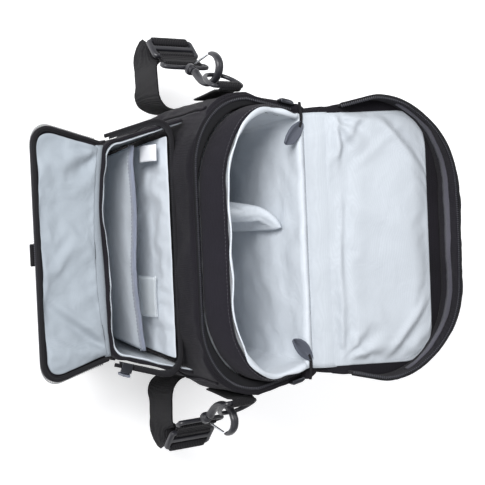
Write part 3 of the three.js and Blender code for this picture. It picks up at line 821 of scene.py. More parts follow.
def lid_top_z(x, y):
    crown = 1.6 * (1 - (x / 118) ** 4) * (1 - ((y + 11) / 54) ** 4)
    return 207 + crown + ripple(x, y, 0, 36, 3, 8.8) * 1.2


def lid_shell():
    rings = [lid_ring(offset, z) for offset, z in
             ((-60, 203.2), (-20, 203.2), (-3, 203.2), (-0.6, 203.8))]
    rings += [lid_ring(offset, z, 1.6) for offset, z in ((0.9, 204.4), (1.1, 205.3), (0.3, 206.4))]
    rings.append(lid_ring(-1.5, 207))
    for k in range(1, 9):
        rings.append([lid_map((x, y, lid_top_z(x, y)))
                      for x, y, _, _ in outline(LID, -1.5 - k * 5.4)])
    place(skin("lid_shell", rings, SHELL), "lid_panel", body="lid")


GUSSET_LINE = outline(GUSSET)[1:OPEN_N]


def splay(point):
    """How far the gusset's free edge stands out: most at mid front, drawn in at the corners."""
    x, y = abs(point[0]), point[1]
    middle = 5.5 * max(0.0, math.cos(min(1.0, x / 105) * math.pi / 2)) ** 0.8 * (y < -20)
    return middle - 1.2 * bell(x, 100, 16)


def gusset_point(point, v, stand):
    """Point on the gusset, from v = 0 just above the zip to 1 at the lid."""
    z = lerp(zip_z(point[1]) + 2.2, GUSSET_TOP, v)
    stand += (1.0 + splay(point)) * (1 - v) ** 1.4
    stand += ripple(point[0], point[1], z, 22, 3, 5.5) * 1.5 * (1 - max(0, v) * 0.6)
    return lid_map(push(point, point, stand, z))


def gusset_band(line, v0, v1, outer, inner):
    """Sections of a thin band on the gusset between heights v0 and v1."""
    middle = (v0 + v1) / 2
    corners = ((v0, outer), (middle, outer), (v1, outer), (v1, inner), (middle, inner), (v0, inner))
    return [[gusset_point(point, v, stand) for v, stand in corners] for point in line]


def gusset_edge(stand, rise):
    """Line along the gusset's free edge, on the shut lid."""
    return [push(point, point, stand + splay(point), zip_z(point[1]) + rise)
            for point in GUSSET_LINE]


def lid_gusset():
    """Soft wall round three sides of the lid, with tape inside, a zip and a bound edge."""
    sections = [[gusset_point(point, k / 13, 1.3) for k in range(14)]
                + [gusset_point(point, k / 13, -0.9) for k in range(13, -1, -1)]
                for point in GUSSET_LINE]
    place(skin("lid_gusset_cloth", sections, SHELL), "lid_gusset", body="lid")
    front = [point for point in GUSSET_LINE if point[1] <= -22]
    place(skin("lid_seam_tape", gusset_band(front, 0.34, 0.62, -1.0, -1.8), SEAM_TAPE),
          body="lid", slot="zip_tape")
    place(skin("lid_zip_tape", gusset_band(GUSSET_LINE, -0.09, 0.06, 0.9, -0.7), ZIP_TAPE),
          "lid_zip", body="lid", slot="zip_tape")
    coil = [lid_map(p) for p in gusset_edge(0.4, 1.0)]
    place(beads("lid_zip_coil", coil, UP, (0.55, 1.5, 0.6), 1.7, COIL),
          body="lid", slot="zip_tape")
    binding = [lid_map(p) for p in spline(gusset_edge(1.7, 2.6)[::3], 2)]
    place(rod("lid_edge_binding", binding, LID_UP, 1.3, 1.5, BINDING, 8), body="lid")


def lid_lining_z(x, y):
    """Height of the cloth on the shut lid; lower is deeper into the bag."""
    edge = min(107 - abs(x), y + 52.5, 36 - y)
    crown = 2.6 * ramp(0, 16, edge)
    fold = ripple(x, y, 3, 58, 2, 6.1) * 1.7 + ripple(x, y, 3, 15, 2, 1.9) * 0.15
    # one long crease beside the hinge, fading and wandering across the width
    crease = 27.5 + 1.2 * math.sin(x / 33) + 0.6 * math.sin(x / 13)
    fading = 0.45 + 0.55 * abs(math.sin(x / 41 + 0.7))
    fold += 1.9 * bell(y, crease, 2.0) * fading - 1.5 * bell(y, crease - 5.5, 3.0)
    # a low swell across the middle and one slanting fold
    fold += (0.5 * bell(y, 12 + 3 * math.sin(x / 36), 6.0)
             * (0.4 + 0.6 * ramp(110, 40, abs(x))))
    fold += 0.9 * bell(x + 0.4 * y, -20, 9) * ramp(-60, -20, y)
    # side, x and y of its hinge corner, strength of front and of rear folds
    for side, corner_x, corner_y, front, rear in ((-1, 101, 31, 1.0, 1.0), (1, 99, 29, 1.15, 0.8)):
        out = x * side
        # short gathers that fan from the hinge corner
        reach = math.hypot(corner_x - out, corner_y - y)
        angle = math.atan2(corner_y - y, corner_x - out)
        fold += (1.9 * math.sin(angle * 8.5 + side + reach / 17)
                 * ramp(3, 12, reach) * ramp(50, 14, reach))
        # soft drag fold towards the free corner
        across = (out - 76) * 0.62 + (y + 30) * -0.78
        fold += (front * (1.9 * bell(across, 0, 3.4) - 1.4 * bell(across, 8, 4.5))
                 * bell(out, 82, 20) * ramp(8, -18, y))
        # two slanting folds along the side
        across = (out - 96) * 0.55 + (y - 12) * 0.83
        fold += 1.7 * rear * bell(across, 0, 2.6) * bell(out, 88, 22)
        fold -= 1.2 * rear * bell(across, -6, 3) * bell(out, 90, 18)
        across = (out - 86) * 0.8 + (y + 20) * 0.6
        fold += 0.9 * rear * bell(across, 0, 4) * bell(y, -20, 22)
    return min(202.5, 202.6 - crown - max(-2.2, min(4.2, 1.35 * fold)) * ramp(0, 8, edge))


def lid_lining():
    """One broad cloth with rounded free corners, and its stitch line."""
    def point(u, v):
        y = -53 + 90.5 * v
        half = 107.5 - 0.011 * (y + 53) - 30 * corner_cut((y + 53) / 26)
        x = half * (-1 + 2 * u)
        return x, y, lid_lining_z(x, y)

    grid = drape(grid_of(39, 85, point), grow=0.008, frame_count=18, bend=6.0)
    grid = [[lid_map((x, y, max(196.2, min(202.4, z)))) for x, y, z in row] for row in grid]
    place(soften(sheet("lid_lining_cloth", grid, 1.0, SHADED_LID_LINING, (0, -0.3, 1))),
          "lid_padding", body="lid", slot="lining_fabric")
    stitch = [lid_map((x, y, lid_lining_z(x, y) - 0.1))
              for x, y, _, _ in outline(LID_STITCH)[:OPEN_N]]
    place(beads("lid_lining_stitch", stitch, LID_UP, (1.0, 0.28, 0.28), 3.4, PALE_THREAD),
          body="lid", slot="lining_fabric")


def grab_handle():
    """Low arch of webbing across the lid's outer face."""
    # x and rise above the lid of the left half, then the middle
    half = [(-62, 2.3), (-52, 2.4), (-44, 4), (-30, 7)]
    arc = half + [(0, 8.4)] + [(-x, rise) for x, rise in half[::-1]]
    path = spline([(x, -10, LID_TOP + rise) for x, rise in arc], 3)
    place(rod("grab_handle_web", [lid_map(p) for p in path], (0, 1, 0.1), 12.4, 1.1, WEBBING, 16,
              power=6), "grab_handle", body="lid", slot="webbing")


def hinge_web(name, material, half, low, middle, high):
    """Cloth from the back wall to the open lid; low, middle and high are (y, z)."""
    def point(u, v):
        x = -half + 2 * half * u
        x, y, z = arch(Vector((x, *low)), Vector((x, *middle)), Vector((x, *high)), v)
        return x, y, z + ripple(x, v * 36, 0, 20, 2, 3.0) * 0.8 * math.sin(math.pi * v)

    return sheet(name, grid_of(13, 49, point), 0.9, material, (0, -0.6, 1))


def lid_hinge():
    inner = hinge_web("hinge_web_lining", SHADED_LID_LINING, 107, (30.2, 190), (35.5, 205.5),
                      (50.6, 208.5))
    place_between(inner)
    outer = hinge_web("hinge_web_shell", SHELL, 112, (42.8, 186), (43.6, 203.0), (48.7, 205.2))
    place_between(outer)
    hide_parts("lid_hinge_web")


lid_shell()
lid_gusset()
lid_lining()
grab_handle()
lid_hinge()

# ---------------------------------------------------------------- soft pulls on the main zip
# Cord of the right pull (x, y, z) and middle line of its grip (x, y, half width)
CORD = ((116, 29.8, 198.2), (111, 30.2, 198.6), (105, 31, 198.4), (99, 30.8, 198.1), (95, 29, 198))
GRIP = ((99, 31.2, 2.0), (95, 28.2, 4.6), (91, 24.6, 6.0), (87, 20.6, 6.0), (84, 17, 4.8),
        (81.4, 13.6, 1.2))
# Rings of the grip from its underside to its dished face: scale of the width, z
GRIP_RINGS = ((0.86, 196.9), (1.0, 197.5), (1.0, 198.6), (0.86, 199.2), (0.62, 199.1),
              (0.5, 198.5))


def zip_pull(side, sign):
    """Cord over the corner and a leaf-shaped grip with a raised rim."""
    settings = dict(body=f"main_pull_{side}", slot="pull_rubber")
    cord = spline([(sign * x, y, z) for x, y, z in CORD], 1.5)
    place(rod(f"pull_cord_{side}", cord, UP, 0.8, 1.6, BINDING, 8), **settings)
    path = spline([(x, y, 0) for x, y, _ in GRIP], 1.2)
    halves = np.interp(np.linspace(0, 1, len(path)), np.linspace(0, 1, len(GRIP)),
                       [half for _, _, half in GRIP])
    rings = []
    for scale, z in GRIP_RINGS:
        first, second = (
            [(sign * (p.x + cross.x * half * way * scale), p.y + cross.y * half * way * scale, z)
             for (p, _, _, cross), half in zip(frames(path, UP), halves)] for way in (1, -1))
        rings.append(first + second[::-1])
    place(skin(f"pull_grip_{side}", rings, RUBBER), f"main_pull_{side}", **settings)


for side, sign in SIDES:
    zip_pull(side, sign)

# ---------------------------------------------------------------- divider: padded flap inside
DIVIDER_PATH = ((-28, -44, 0), (-28, -34, 0), (-27, -16, 0), (-26, 2, 0), (-23, 12, 0),
                (-17, 20, 0), (-9.5, 25, 0))
# Closed section: z, and side as a share of the half thickness
DIVIDER_SECTION = ((15, 1), (15, -1), (60, -1), (110, -1), (150, -1), (166, -1), (171, -0.6),
                   (172.5, 0), (171, 0.6), (166, 1), (150, 1), (110, 1), (60, 1))


def divider_pad():
    half_thickness = 4.4
    path = spline(DIVIDER_PATH, 4)
    rings = []
    for i, (centre, _, _, cross) in enumerate(frames(path, UP)):
        low = 5.5 * ramp(-30, -44, centre.y)  # the foot of the front end is set back
        tip = 0.55 if i in (0, len(path) - 1) else 1.0
        section = []
        for z, share in DIVIDER_SECTION:
            shift = cross * (share * half_thickness * tip)
            wave = 1.6 * math.sin(i * 0.5) if z > 160 else 0
            y = centre.y + shift.y + low * (170 - z) / 155
            section.append((centre.x + shift.x, y, z + wave))
        rings.append(section)
    pad = skin("divider_pad", rings, LINING)
    puff(pad, voxel=0.0022, pressure=3.0, cap=0.0042, frame_count=16)
    place(pad, "divider", body="divider", slot="lining_fabric")


divider_pad()

# ---------------------------------------------------------------- front pocket
POCKET_ROWS = 34
POCKET_CORNER = 12


def pocket_rise(z):
    return clamp01((z - 10) / 119)


def front_y(x, z):
    """Outer face of the pocket: leans out towards the top and bows out in the middle."""
    t = pocket_rise(z)
    knee = 0.336  # the lean changes at this height fraction
    if t < knee:
        lean = lerp(-112, -119, t / knee)
    else:
        lean = lerp(-119, -122.6, (t - knee) / (1 - knee))
    middle = math.cos(math.pi * min(1, abs(x) / 90) / 2) ** 1.2
    bow = (2.6 * t - (6.0 + 4.0 * t) * middle
           * (0.35 + 0.65 * math.sin(math.pi * (0.15 + 0.75 * t))))
    return lean + bow + 1.8 * math.sin(x / 22 + 0.6) * ramp(0.6, 1, t)


def pocket_outline(z, inset):
    """U-shaped plan from the body wall at the left, round the front, to the wall at the right.

    Each point is (x, y, outward x, outward y).
    """
    side_n, corner_n, front_n, radius = 20, 10, 56, POCKET_CORNER
    half = 80 + 7 * pocket_rise(z) + 3 - inset
    t = clamp01((z - 10) / 140)
    spread = 5.5 + 11.5 * t
    rear_y = -49.5 - 8.5 * t
    corner_front = front_y(half, z)
    corner_y = corner_front + inset + radius
    straight = half - radius

    def corner(x, start, counts):
        angles = [math.radians(start + 9 * k) for k in counts]
        return [(x + radius * math.cos(a), corner_y + radius * math.sin(a),
                 math.cos(a), math.sin(a)) for a in angles]

    def front(x):
        share = ramp(straight, straight - 18, abs(x))
        return (x, lerp(corner_front, front_y(x, z), share) + inset, 0, -1)

    left = [(-half - spread * (1 - k / side_n), lerp(rear_y, corner_y, k / side_n), -1, 0)
            for k in range(side_n)]
    right = [(half + spread * k / side_n, lerp(corner_y, rear_y, k / side_n), 1, 0)
             for k in range(1, side_n + 1)]
    return (left + corner(-straight, 180, range(corner_n))
            + [front(-straight + 2 * straight * k / front_n) for k in range(front_n + 1)]
            + corner(straight, 270, range(1, corner_n + 1)) + right)


def mouth_z(y):
    return FLAP_HINGE_Z + (y - FLAP_HINGE_Y) * math.tan(MOUTH_SLOPE)


def pocket_skin(name, inset_out, inset_in, material, z_low, drop):
    """The U wall as one closed cloth, ending a drop below the mouth: outside, edge, inside."""
    def row(k, inner):
        v = k / POCKET_ROWS
        outer_line = pocket_outline(z_low + v * 118, inset_out)
        line = pocket_outline(z_low + v * 118, inset_in) if inner else outer_line
        full, wave, lift = (2.0, 1.8, 0.4) if inner else (2.6, 2.0, 0)
        points = []
        for point, (x, y, _, _) in zip(line, outer_line):
            z = lerp(z_low, min(mouth_z(y) - drop, 152), v) + (lift if k == POCKET_ROWS else 0)
            stand = (full * math.sin(math.pi * v) + ripple(x, y, z, 34, 3, 2.7) * wave
                     + ripple(x, y, z, 12, 2, 8.1) * 0.5) * ramp(0, 0.08, v)
            if abs(point[3]) <= 0.3:
                stand *= 0.6 * ramp(-60, -75, point[1])
            if not inner:
                # two slanting creases on the outside
                stand -= 1.5 * bell(x - 0.3 * (z - 60), 55, 6) * bell(z, 60, 40)
                stand -= 1.3 * bell(x + 0.25 * (z - 70), -62, 7) * bell(z, 70, 35)
            points.append(push(point, point, stand, z))
        return points

    rows = [row(k, False) for k in range(POCKET_ROWS + 1)]
    rows += [row(k, True) for k in range(POCKET_ROWS, -1, -1)]
    # each station along the U is a closed section, so the skin runs along the U
    return skin(name, [list(section) for section in zip(*rows)], material)


def pocket_floor(name, line, profile, material):
    """Closed slab on the pocket's plan; profile is scale about y = -80, and z."""
    return skin(name, [[(x * scale, lerp(-80, y, scale), z) for x, y, _, _ in line]
                       for scale, z in profile], material)


def pocket_walls():
    place(pocket_skin("pocket_shell", 0.0, 2.2, SHELL, 10.5, 1.2),
          "pocket_front_panel", "pocket_left_gusset", "pocket_right_gusset")
    place(pocket_skin("pocket_lining_cloth", 2.6, 3.8, POCKET_LINING, 14.5, 3.0),
          slot="lining_fabric")
    profile = ((0.5, 9.8), (0.96, 9.8), (1.0, 11), (0.97, 13.4), (0.5, 13.8))
    place(pocket_floor("pocket_floor", pocket_outline(12, 2.4), profile, SHELL), "pocket_base")
    profile = ((0.5, 14.1), (0.97, 14.1), (1.0, 14.6), (0.97, 15.0), (0.5, 15.2))
    place(pocket_floor("pocket_floor_lining", pocket_outline(15, 5.2), profile, LINING),
          slot="lining_fabric")
    piping = [push(p, p, 0.8, 11.5) for p in pocket_outline(11, -0.2)]
    place(rod("pocket_foot_piping", spline(piping[::2], 3), UP, 1.3, 1.3, BINDING, 8))
    for side, sign in SIDES:
        edge = []
        for k in range(44):
            z = 13 + 118 * k / 44
            point = pocket_outline(z, 0.0)[24 if sign < 0 else -25]
            edge.append(push(point, point, 2.6 * math.sin(math.pi * k / 44) + 0.7, z))
        place(rod(f"pocket_seam_{side}", edge, (sign * 0.7, -0.7, 0), 0.9, 1.3, SHELL, 8))


def pocket_back():
    """Lining against the body, with a few long folds, rising to the rear of the mouth."""
    def point(u, v):
        x = (-80 - 11.5 * v) + (160 + 23 * v) * u
        fold = ripple(x, 0, v * 130, 40, 3, 4.4) * 1.8 + 1.3 * bell(x - 20 * v, 44, 7)
        fold += 1.1 * bell(x + 30 * v, -30, 9) - bell(x - 14 * v, 30, 6)
        y = -56.4 - 13.8 * v - abs(fold) * ramp(0, 0.15, v) * ramp(1.02, 0.9, v)
        return x, y, 15 + 132.5 * v

    grid = drape(grid_of(30, 70, point), grow=0.012, frame_count=16, bend=4.0)
    grid = [[(x, min(y, -56.2 - 13.8 * (z - 15) / 132.5), z) for x, y, z in row] for row in grid]
    place(soften(sheet("pocket_back_cloth", grid, 0.9, LINING, FORWARD)),
          "pocket_back_lining", slot="lining_fabric")


def organiser():
    """Sleeve that sags forward in the middle, with its top edge bound in grey tape."""
    def point(u, v):
        x = (-74 - 11 * v) + (148 + 22 * v) * u
        y = (-73.2 - 19.4 * v) + (6.0 * (abs(x) / 86) ** 2) * v - 1.4 * math.sin(x / 19) * v
        y -= ripple(x, 1, v * 100, 30, 3, 7.0) * v
        return x, y, 15.5 + 107 * v + 2.5 * math.cos(x / 40) * v

    grid = grid_of(26, 60, point)
    place(sheet("organiser_cloth", grid, 0.9, LINING, FORWARD), "organiser_sleeve",
          slot="lining_fabric")
    edge = [(x, y - 0.3, z + 0.5) for x, y, z in grid[-1]]
    place(rod("organiser_binding", edge, UP, 3.4, 1.5, GREY_TAPE, 12, power=3),
          "sleeve_binding", slot="grey_binding")
    stitch = [(x, y - 1.7, z - 1.4) for x, y, z in edge]
    place(beads("organiser_stitch", stitch, FORWARD, (1.0, 0.25, 0.25), 3.0, PALE_THREAD),
          slot="grey_binding")


def label_and_window():
    def label(u, v):
        return (-85 + 13.5 * u, -76.4 - 2.4 * math.sin(v * 2.4) - 0.3 * u,
                113 + 30 * v + 1.2 * math.sin(u * 3.1) * (v < 0.2))

    def film(u, v):
        return 24 + 34 * u, -73.6 - 0.6 * math.sin(u * 3.14), 100 + 27 * v

    place(sheet("blank_label", grid_of(10, 10, label), 0.7, LABEL, FORWARD), "woven_label",
          slot="white_label")
    place(sheet("card_window_film", grid_of(8, 12, film), 0.5, CLEAR, FORWARD), "card_window",
          slot="clear_window")
    border = [(24, -74.2, 100), (58, -74.2, 100), (58, -74.6, 127), (24, -74.6, 127),
              (24, -74.2, 100)]
    place(beads("card_window_stitch", border, FORWARD, (0.9, 0.3, 0.25), 2.4, PALE_THREAD),
          slot="lining_fabric")


pocket_walls()
pocket_back()
organiser()
label_and_window()


# ---------------------------------------------------------------- pocket zip and flap
# Points in the flap's plane are (x, distance from the hinge, height). Positive height is the
# flap's outside, which faces down when it is open.
def u_path(half, start, end, radius):
    """U in plane coordinates: up the left side, across the free edge and down the right."""
    side_n, corner_n, edge_n = 16, 12, 44
    straight = end - radius
    corner = [(radius * math.cos(math.pi / 2 * k / corner_n),
               radius * math.sin(math.pi / 2 * k / corner_n)) for k in range(corner_n + 1)]
    points = [(-half, lerp(start, straight, k / side_n)) for k in range(side_n)]
    points += [(-half + radius - cos, straight + sin) for cos, sin in corner[:-1]]
    points += [(-half + radius + 2 * (half - radius) * k / edge_n, end) for k in range(edge_n)]
    points += [(half - radius + sin, straight + cos) for cos, sin in corner]
    points += [(half, lerp(straight, start, k / side_n)) for k in range(1, side_n + 1)]
    return [(x * (1 + FLAP_SPREAD * y / FLAP_LENGTH / half), y) for x, y in points]


def flap_fold(x, y):
    """Height of the flap's folds above its plane."""
    fold = ripple(x, y, 2, 40, 3, 3.3) * 2.4 + ripple(x, y, 2, 13, 2, 6.6) * 0.3
    # long folds that fan from two points by the hinge's ends: x, phase
    for centre, phase in ((80, 0.0), (-82, 1.3)):
        dx, dy = abs(centre - x), y + 6
        reach = math.hypot(dx, dy)
        fold += (1.7 * math.sin(math.atan2(dy, dx) * 7 + phase)
                 * ramp(4, 16, reach) * ramp(62, 20, reach))
    # slanting folds on the right
    across = (x - 52) * 0.8 + (y - 26) * 0.6
    fold += (1.2 * bell(across, 7, 4) - 2.0 * bell(across, 0, 3.2)) * bell(x, 56, 24)
    across = (x - 72) * 0.9 + (y - 40) * 0.42
    fold -= 1.6 * bell(across, 0, 2.6) * bell(y, 40, 12)
    # a broad dip on the left
    fold -= 1.6 * bell(x, -66, 14) * bell(y, 34, 14)
    t = y / FLAP_LENGTH
    return max(-2.8, min(3.6, 1.3 * fold)) * ramp(0, 0.15, t) * ramp(1.02, 0.86, t)


def hinge_bow(x):
    """How far the hinge edge bows into the flap at mid width."""
    return 6.5 * max(0.0, 1 - (x / 84) ** 2)


def mouth_zip():
    coil = [mouth_map((x, y, -0.4)) for x, y in u_path(88.2, 8, 58.6, 17)]
    place(beads("pocket_zip_coil", coil, (0, -0.3, 1), (0.5, 1.1, 0.5), 1.6, COIL),
          slot="zip_tape")
    binding = [mouth_map((x, y, -0.9)) for x, y in u_path(91.0, 4, 60.6, 18)]
    place(rod("pocket_mouth_binding", binding, UP, 1.3, 1.6, BINDING, 8))


def flap_shell():
    """Filled U: rings that shrink to the middle on the inner face and open on the outer one."""
    half, start, end, ring_count = 87.0, 2, 57.8, 24
    hinge_half = half + FLAP_SPREAD * start / FLAP_LENGTH
    hinge_x = [-hinge_half + 2 * hinge_half * k / 40 for k in range(39, 0, -1)]
    border = u_path(half, start, end, 16) + [(x, start + hinge_bow(x)) for x in hinge_x]
    middle = (start + end) / 2

    def shrunk(scale, height):
        flat = [(x * scale, lerp(middle, y, scale)) for x, y in border]
        return [flap_map((x, y, height + flap_fold(x, y))) for x, y in flat]

    scales = [1 - (k / ring_count) ** 1.1 for k in range(ring_count + 1)]
    rings = [shrunk(scale, 2.1) for scale in scales[::-1]]
    rings += [shrunk(scale, 0.5) for scale in scales]
    place(skin("flap_shell", rings, SHELL), "flap_panel", body="pocket_flap")


def flap_lining():
    def point(u, v):
        y = 2.5 + 51.5 * v
        half = 82.6 + FLAP_SPREAD * y / FLAP_LENGTH - 13 * corner_cut((54 - y) / 15)
        x = (-1 + 2 * u) * half
        return x, y + hinge_bow(x) * (1 - v), -1.3 + flap_fold(x, y)

    grid = drape(grid_of(27, 73, point), grow=0.016, frame_count=18, bend=4.0)
    grid = [[flap_map((x, y, max(-5.5, min(flap_fold(x, y) - 0.7, z)))) for x, y, z in row]
            for row in grid]
    place(soften(sheet("flap_lining_cloth", grid, 0.9, SHADED_FLAP_LINING, UP)),
          "flap_lining", body="pocket_flap", slot="lining_fabric")


def flap_line(half, start, end, radius, height):
    """U on the flap that follows most of its folds."""
    return [flap_map((x, y, flap_fold(x, y) * 0.7 + height))
            for x, y in u_path(half, start, end, radius)]


def flap_trim():
    place(rod("flap_binding", flap_line(86.3, 2, 57.1, 16, -0.2), UP, 2.6, 1.7, BINDING, 12,
              power=3), body="pocket_flap")
    place(beads("flap_zip_coil", flap_line(88.2, 6, 58.9, 16.5, -0.7), UP, (0.5, 1.2, 0.55), 1.6,
                COIL), body="pocket_flap", slot="zip_tape")
    tab = spline([(0, 46, 3.0), (0, 52, 3.4), (0, 57, 3.6), (0, 61.5, 3.4)], 2)
    place(rod("flap_tab", [flap_map(p) for p in tab], (1, 0, 0), 8.8, 1.0, WEBBING, 14, power=6),
          "flap_pull_tab", body="pocket_flap", slot="webbing")
    place(beads("flap_stitch", flap_line(81, 4, 52, 14, 2.3), UP, (1.1, 0.28, 0.28), 3.4, THREAD),
          body="pocket_flap")


def flap_web(name, material, inset, middle_inset, middle_z, height):
    """Cloth that joins the flap to the pocket's front edge."""
    def point(u, v):
        x = -85 + 170 * u
        y = front_y(x, 127) + inset
        end = flap_map((x, 4.0 + hinge_bow(x), height))
        return arch(Vector((x, y, 121)), Vector((x, y + middle_inset, middle_z)), Vector(end), v)

    web = sheet(name, grid_of(11, 57, point), 0.8, material, (0, 0.5, 1))
    place_between(web)


mouth_zip()
flap_shell()
flap_lining()
flap_trim()
flap_web("flap_hinge_lining", SHADED_FLAP_LINING, 2.9, 0.6, 133.2, -0.6)
flap_web("flap_hinge_shell", SHELL, 0.4, 0.0, 129.8, 1.6)

# ---------------------------------------------------------------- webbing on the strap hardware
HOOK_Y = -22.0
SWIVEL_X, SWIVEL_Z = 149.6, 119
HANG_RUN, HANG_FALL = 2.8, 6.5  # slope of the hanging swivel
HANG = math.hypot(HANG_RUN, HANG_FALL)
# x, z of the tab from the seam, round the ring's straight bar and back under itself
RING_TAB = ((119.6, 134), (121.6, 148), (123.6, 160), (124.2, 166), (123.9, 171.2),
            (126.2, 173.9), (129.2, 173.2), (130.6, 170.6), (129.8, 168))
# Webbing paths as (distance outwards along the strap, height square to it)
END_LOWER = ((6.5, -1.2), (1.0, -1.6))
END_ROUND_BAR = ((-1.2, -3.2), (-3.3, 0), (-1.2, 3.2))
END_UPPER = ((1.0, 2.4), (6.5, 1.6))
ADJUSTER_LEAD = ((1.5, 0.3), (4, 0.4), (6.5, 1.4))
ADJUSTER_WEAVE = ((-8.6, 2.3), (-5, 1.2), (-4.2, -1.4), (0, -3.0), (4.4, -1.2), (5.4, 1.6),
                  (9, 3.1), (12.2, 1.5), (12.0, -2.5), (7, -5.5))


def ring_tab(side, sign):
    path = [(sign * (x + 3.4), HOOK_Y, z)
            for x, _, z in spline([(x, 0, z) for x, z in RING_TAB], 1.5)]
    place(rod(f"ring_tab_web_{side}", path, (0, 1, 0), 10.8, 0.9, WEBBING, 16, power=6),
          f"ring_tab_{side}", slot="webbing")
    stitch = [(sign * 128.4, HOOK_Y - 9 + k * 0.5, 163.5) for k in range(37)]
    place(beads(f"ring_tab_stitch_{side}", stitch, (sign, 0, 0), (0.9, 0.3, 0.3), 2.4, THREAD),
          slot="webbing")


def end_webbing(side, sign):
    """Doubled webbing round the swivel's far bar, and the strap woven through the adjuster."""
    swivel = Vector((sign * SWIVEL_X, HOOK_Y, SWIVEL_Z))
    down = Vector((sign * HANG_RUN / HANG, 0, -HANG_FALL / HANG))
    bar, start = swivel + down * 18.8, swivel + down * 21.6
    out = Vector((sign * 0.78, 0, -0.63)).normalized()
    rise = Vector((0, 1, 0)).cross(out) * -sign
    adjuster = start + out * 17.2

    def web(name, half, step, *stretches):
        path = [tuple(origin + out * along + rise * height)
                for origin, table in stretches for along, height in table]
        return rod(name, spline(path, step), (0, 1, 0), *half, WEBBING, 20, power=8)

    place(web(f"end_web_{side}", (18.2, 0.8), 1.2,
              (start, END_LOWER), (bar, END_ROUND_BAR), (start, END_UPPER)),
          f"end_webbing_{side}", body=f"swivel_{side}", slot="webbing")
    # this piece pays out of the doubled end as the adjuster slides away from it
    strap = web(f"adjuster_web_{side}", (17.6, 0.7), 0.8,
                (start, ADJUSTER_LEAD), (adjuster, ADJUSTER_WEAVE))
    place_between(strap)


for side, sign in SIDES:
    ring_tab(side, sign)
    end_webbing(side, sign)

# ---------------------------------------------------------------- shoulder strap and pad
# Right half of the strap from the adjuster to near its middle:
# x, y, z, then y and z of the direction across its width, then half width
STRAP_HALF = [
    (173.8, -22, 80.5, 1, 0, 17.6), (175.6, -23.5, 73, 0.92, 0.4, 12.5),
    (175.0, -26.5, 64.5, 0.7, 0.7, 11.5), (170, -29.6, 57.5, 0.3, 0.95, 15.5),
    (158, -31, 56.5, 0, 1, 19), (145, -31, 57, 0, 1, 19), (134, -29, 55, 0, 1, 19),
    (126, -21, 50, 0, 1, 19), (122, -6, 42, 0, 1, 19), (121, 14, 33, 0, 1, 19),
    (121.5, 36, 25.5, 0, 1, 19), (122, 58, 21.4, 0, 1, 19), (121, 80, 20.2, 0, 1, 19),
    (116, 104, 20.2, 0, 1, 19), (102, 130, 20.2, 0, 1, 19), (80, 150, 20.2, 0, 1, 19),
    (52, 163, 20.2, 0, 1, 19), (24, 168.6, 20.2, 0, 1, 19)]
STRAP_MIDDLE = (0, 169.4, 20.2, 0, 1, 19)
# Left half of the pad, then its middle: x, y, half height
PAD_HALF = [(-104, 131.6, 19), (-82, 151.6, 26), (-53, 165, 28), (-24, 170.8, 29)]
PAD_MIDDLE = (0, 171.6, 29)


def distances(path):
    """Distance along a path at each of its points."""
    return np.cumsum([0] + [(Vector(a) - Vector(b)).length for a, b in zip(path, path[1:])])


def shoulder_strap():
    stations = [(-x, *rest) for x, *rest in STRAP_HALF] + [STRAP_MIDDLE] + STRAP_HALF[::-1]
    corners = [station[:3] for station in stations]
    path = spline(corners, 3)
    marks, along = distances(corners), distances(path)
    along = along / along[-1] * marks[-1]
    up_y, up_z, half = (np.interp(along, marks, column) for column in list(zip(*stations))[3:])
    ups = [(0, y, z) for y, z in zip(up_y, up_z)]
    place(rod("strap_web", path, ups, list(half), 0.8, WEBBING, 24, power=8),
          "shoulder_strap", slot="webbing")


def shoulder_pad():
    """Pad behind the strap's middle, with two sewn channels on its rear face."""
    channel = 0.45  # height of the channels as a share of the half height
    stations = PAD_HALF + [PAD_MIDDLE] + [(-x, y, half) for x, y, half in PAD_HALF[::-1]]
    path = spline([(x, y, 31) for x, y, _ in stations], 3)
    halves = np.interp(np.linspace(0, 1, len(path)), np.linspace(0, 1, len(stations)),
                       [half for _, _, half in stations])
    spots = [(centre, -cross if cross.y < 0 else cross, half)
             for (centre, _, _, cross), half in zip(frames(path, UP), halves)]
    rings = []
    for centre, back, half in spots:
        section = []
        for k in range(20):
            angle = 2 * math.pi * k / 20
            cos, sin = math.cos(angle), math.sin(angle)
            depth = 4.0 + signed_power(cos, 0.55) * 3.1
            if cos > 0:
                depth -= 0.9 * (bell(sin, channel, 0.06) + bell(sin, -channel, 0.06))
            rise = Vector(UP) * (signed_power(sin, 0.8) * half)
            section.append(tuple(centre + back * depth + rise))
        rings.append(section)
    place(skin("strap_pad", rings, COLLAR), "shoulder_pad")
    for share, name in ((channel, "upper"), (-channel, "lower")):
        line = [tuple(centre + back * 6.7 + Vector((0, 0, share * half)))
                for centre, back, half in spots]
        place(beads(f"pad_stitch_{name}", line[2:-2], (0, 1, 0), (1.2, 0.35, 0.3), 3.6, THREAD))


shoulder_strap()
shoulder_pad()

# ---------------------------------------------------------------- CAD nodes that stay
SLOT_MATERIALS = dict(
    shell_fabric=SHELL, lining_fabric=LINING, zip_tape=ZIP_TAPE, webbing=WEBBING,
    hardware_plastic=PLASTIC, pull_rubber=RUBBER, wire_steel=STEEL, grey_binding=GREY_TAPE,
    white_label=LABEL, clear_window=CLEAR)
ROUND_NODES = ("ring_left", "ring_right", "hook_", "gate_", "strap_loop")
BEVELLED_NODES = ("main_slider", "pocket_slider", "adjuster", "swivel_post")


def weld(ob, name):
    ob.modifiers.new(name, "WELD").merge_threshold = 1e-5


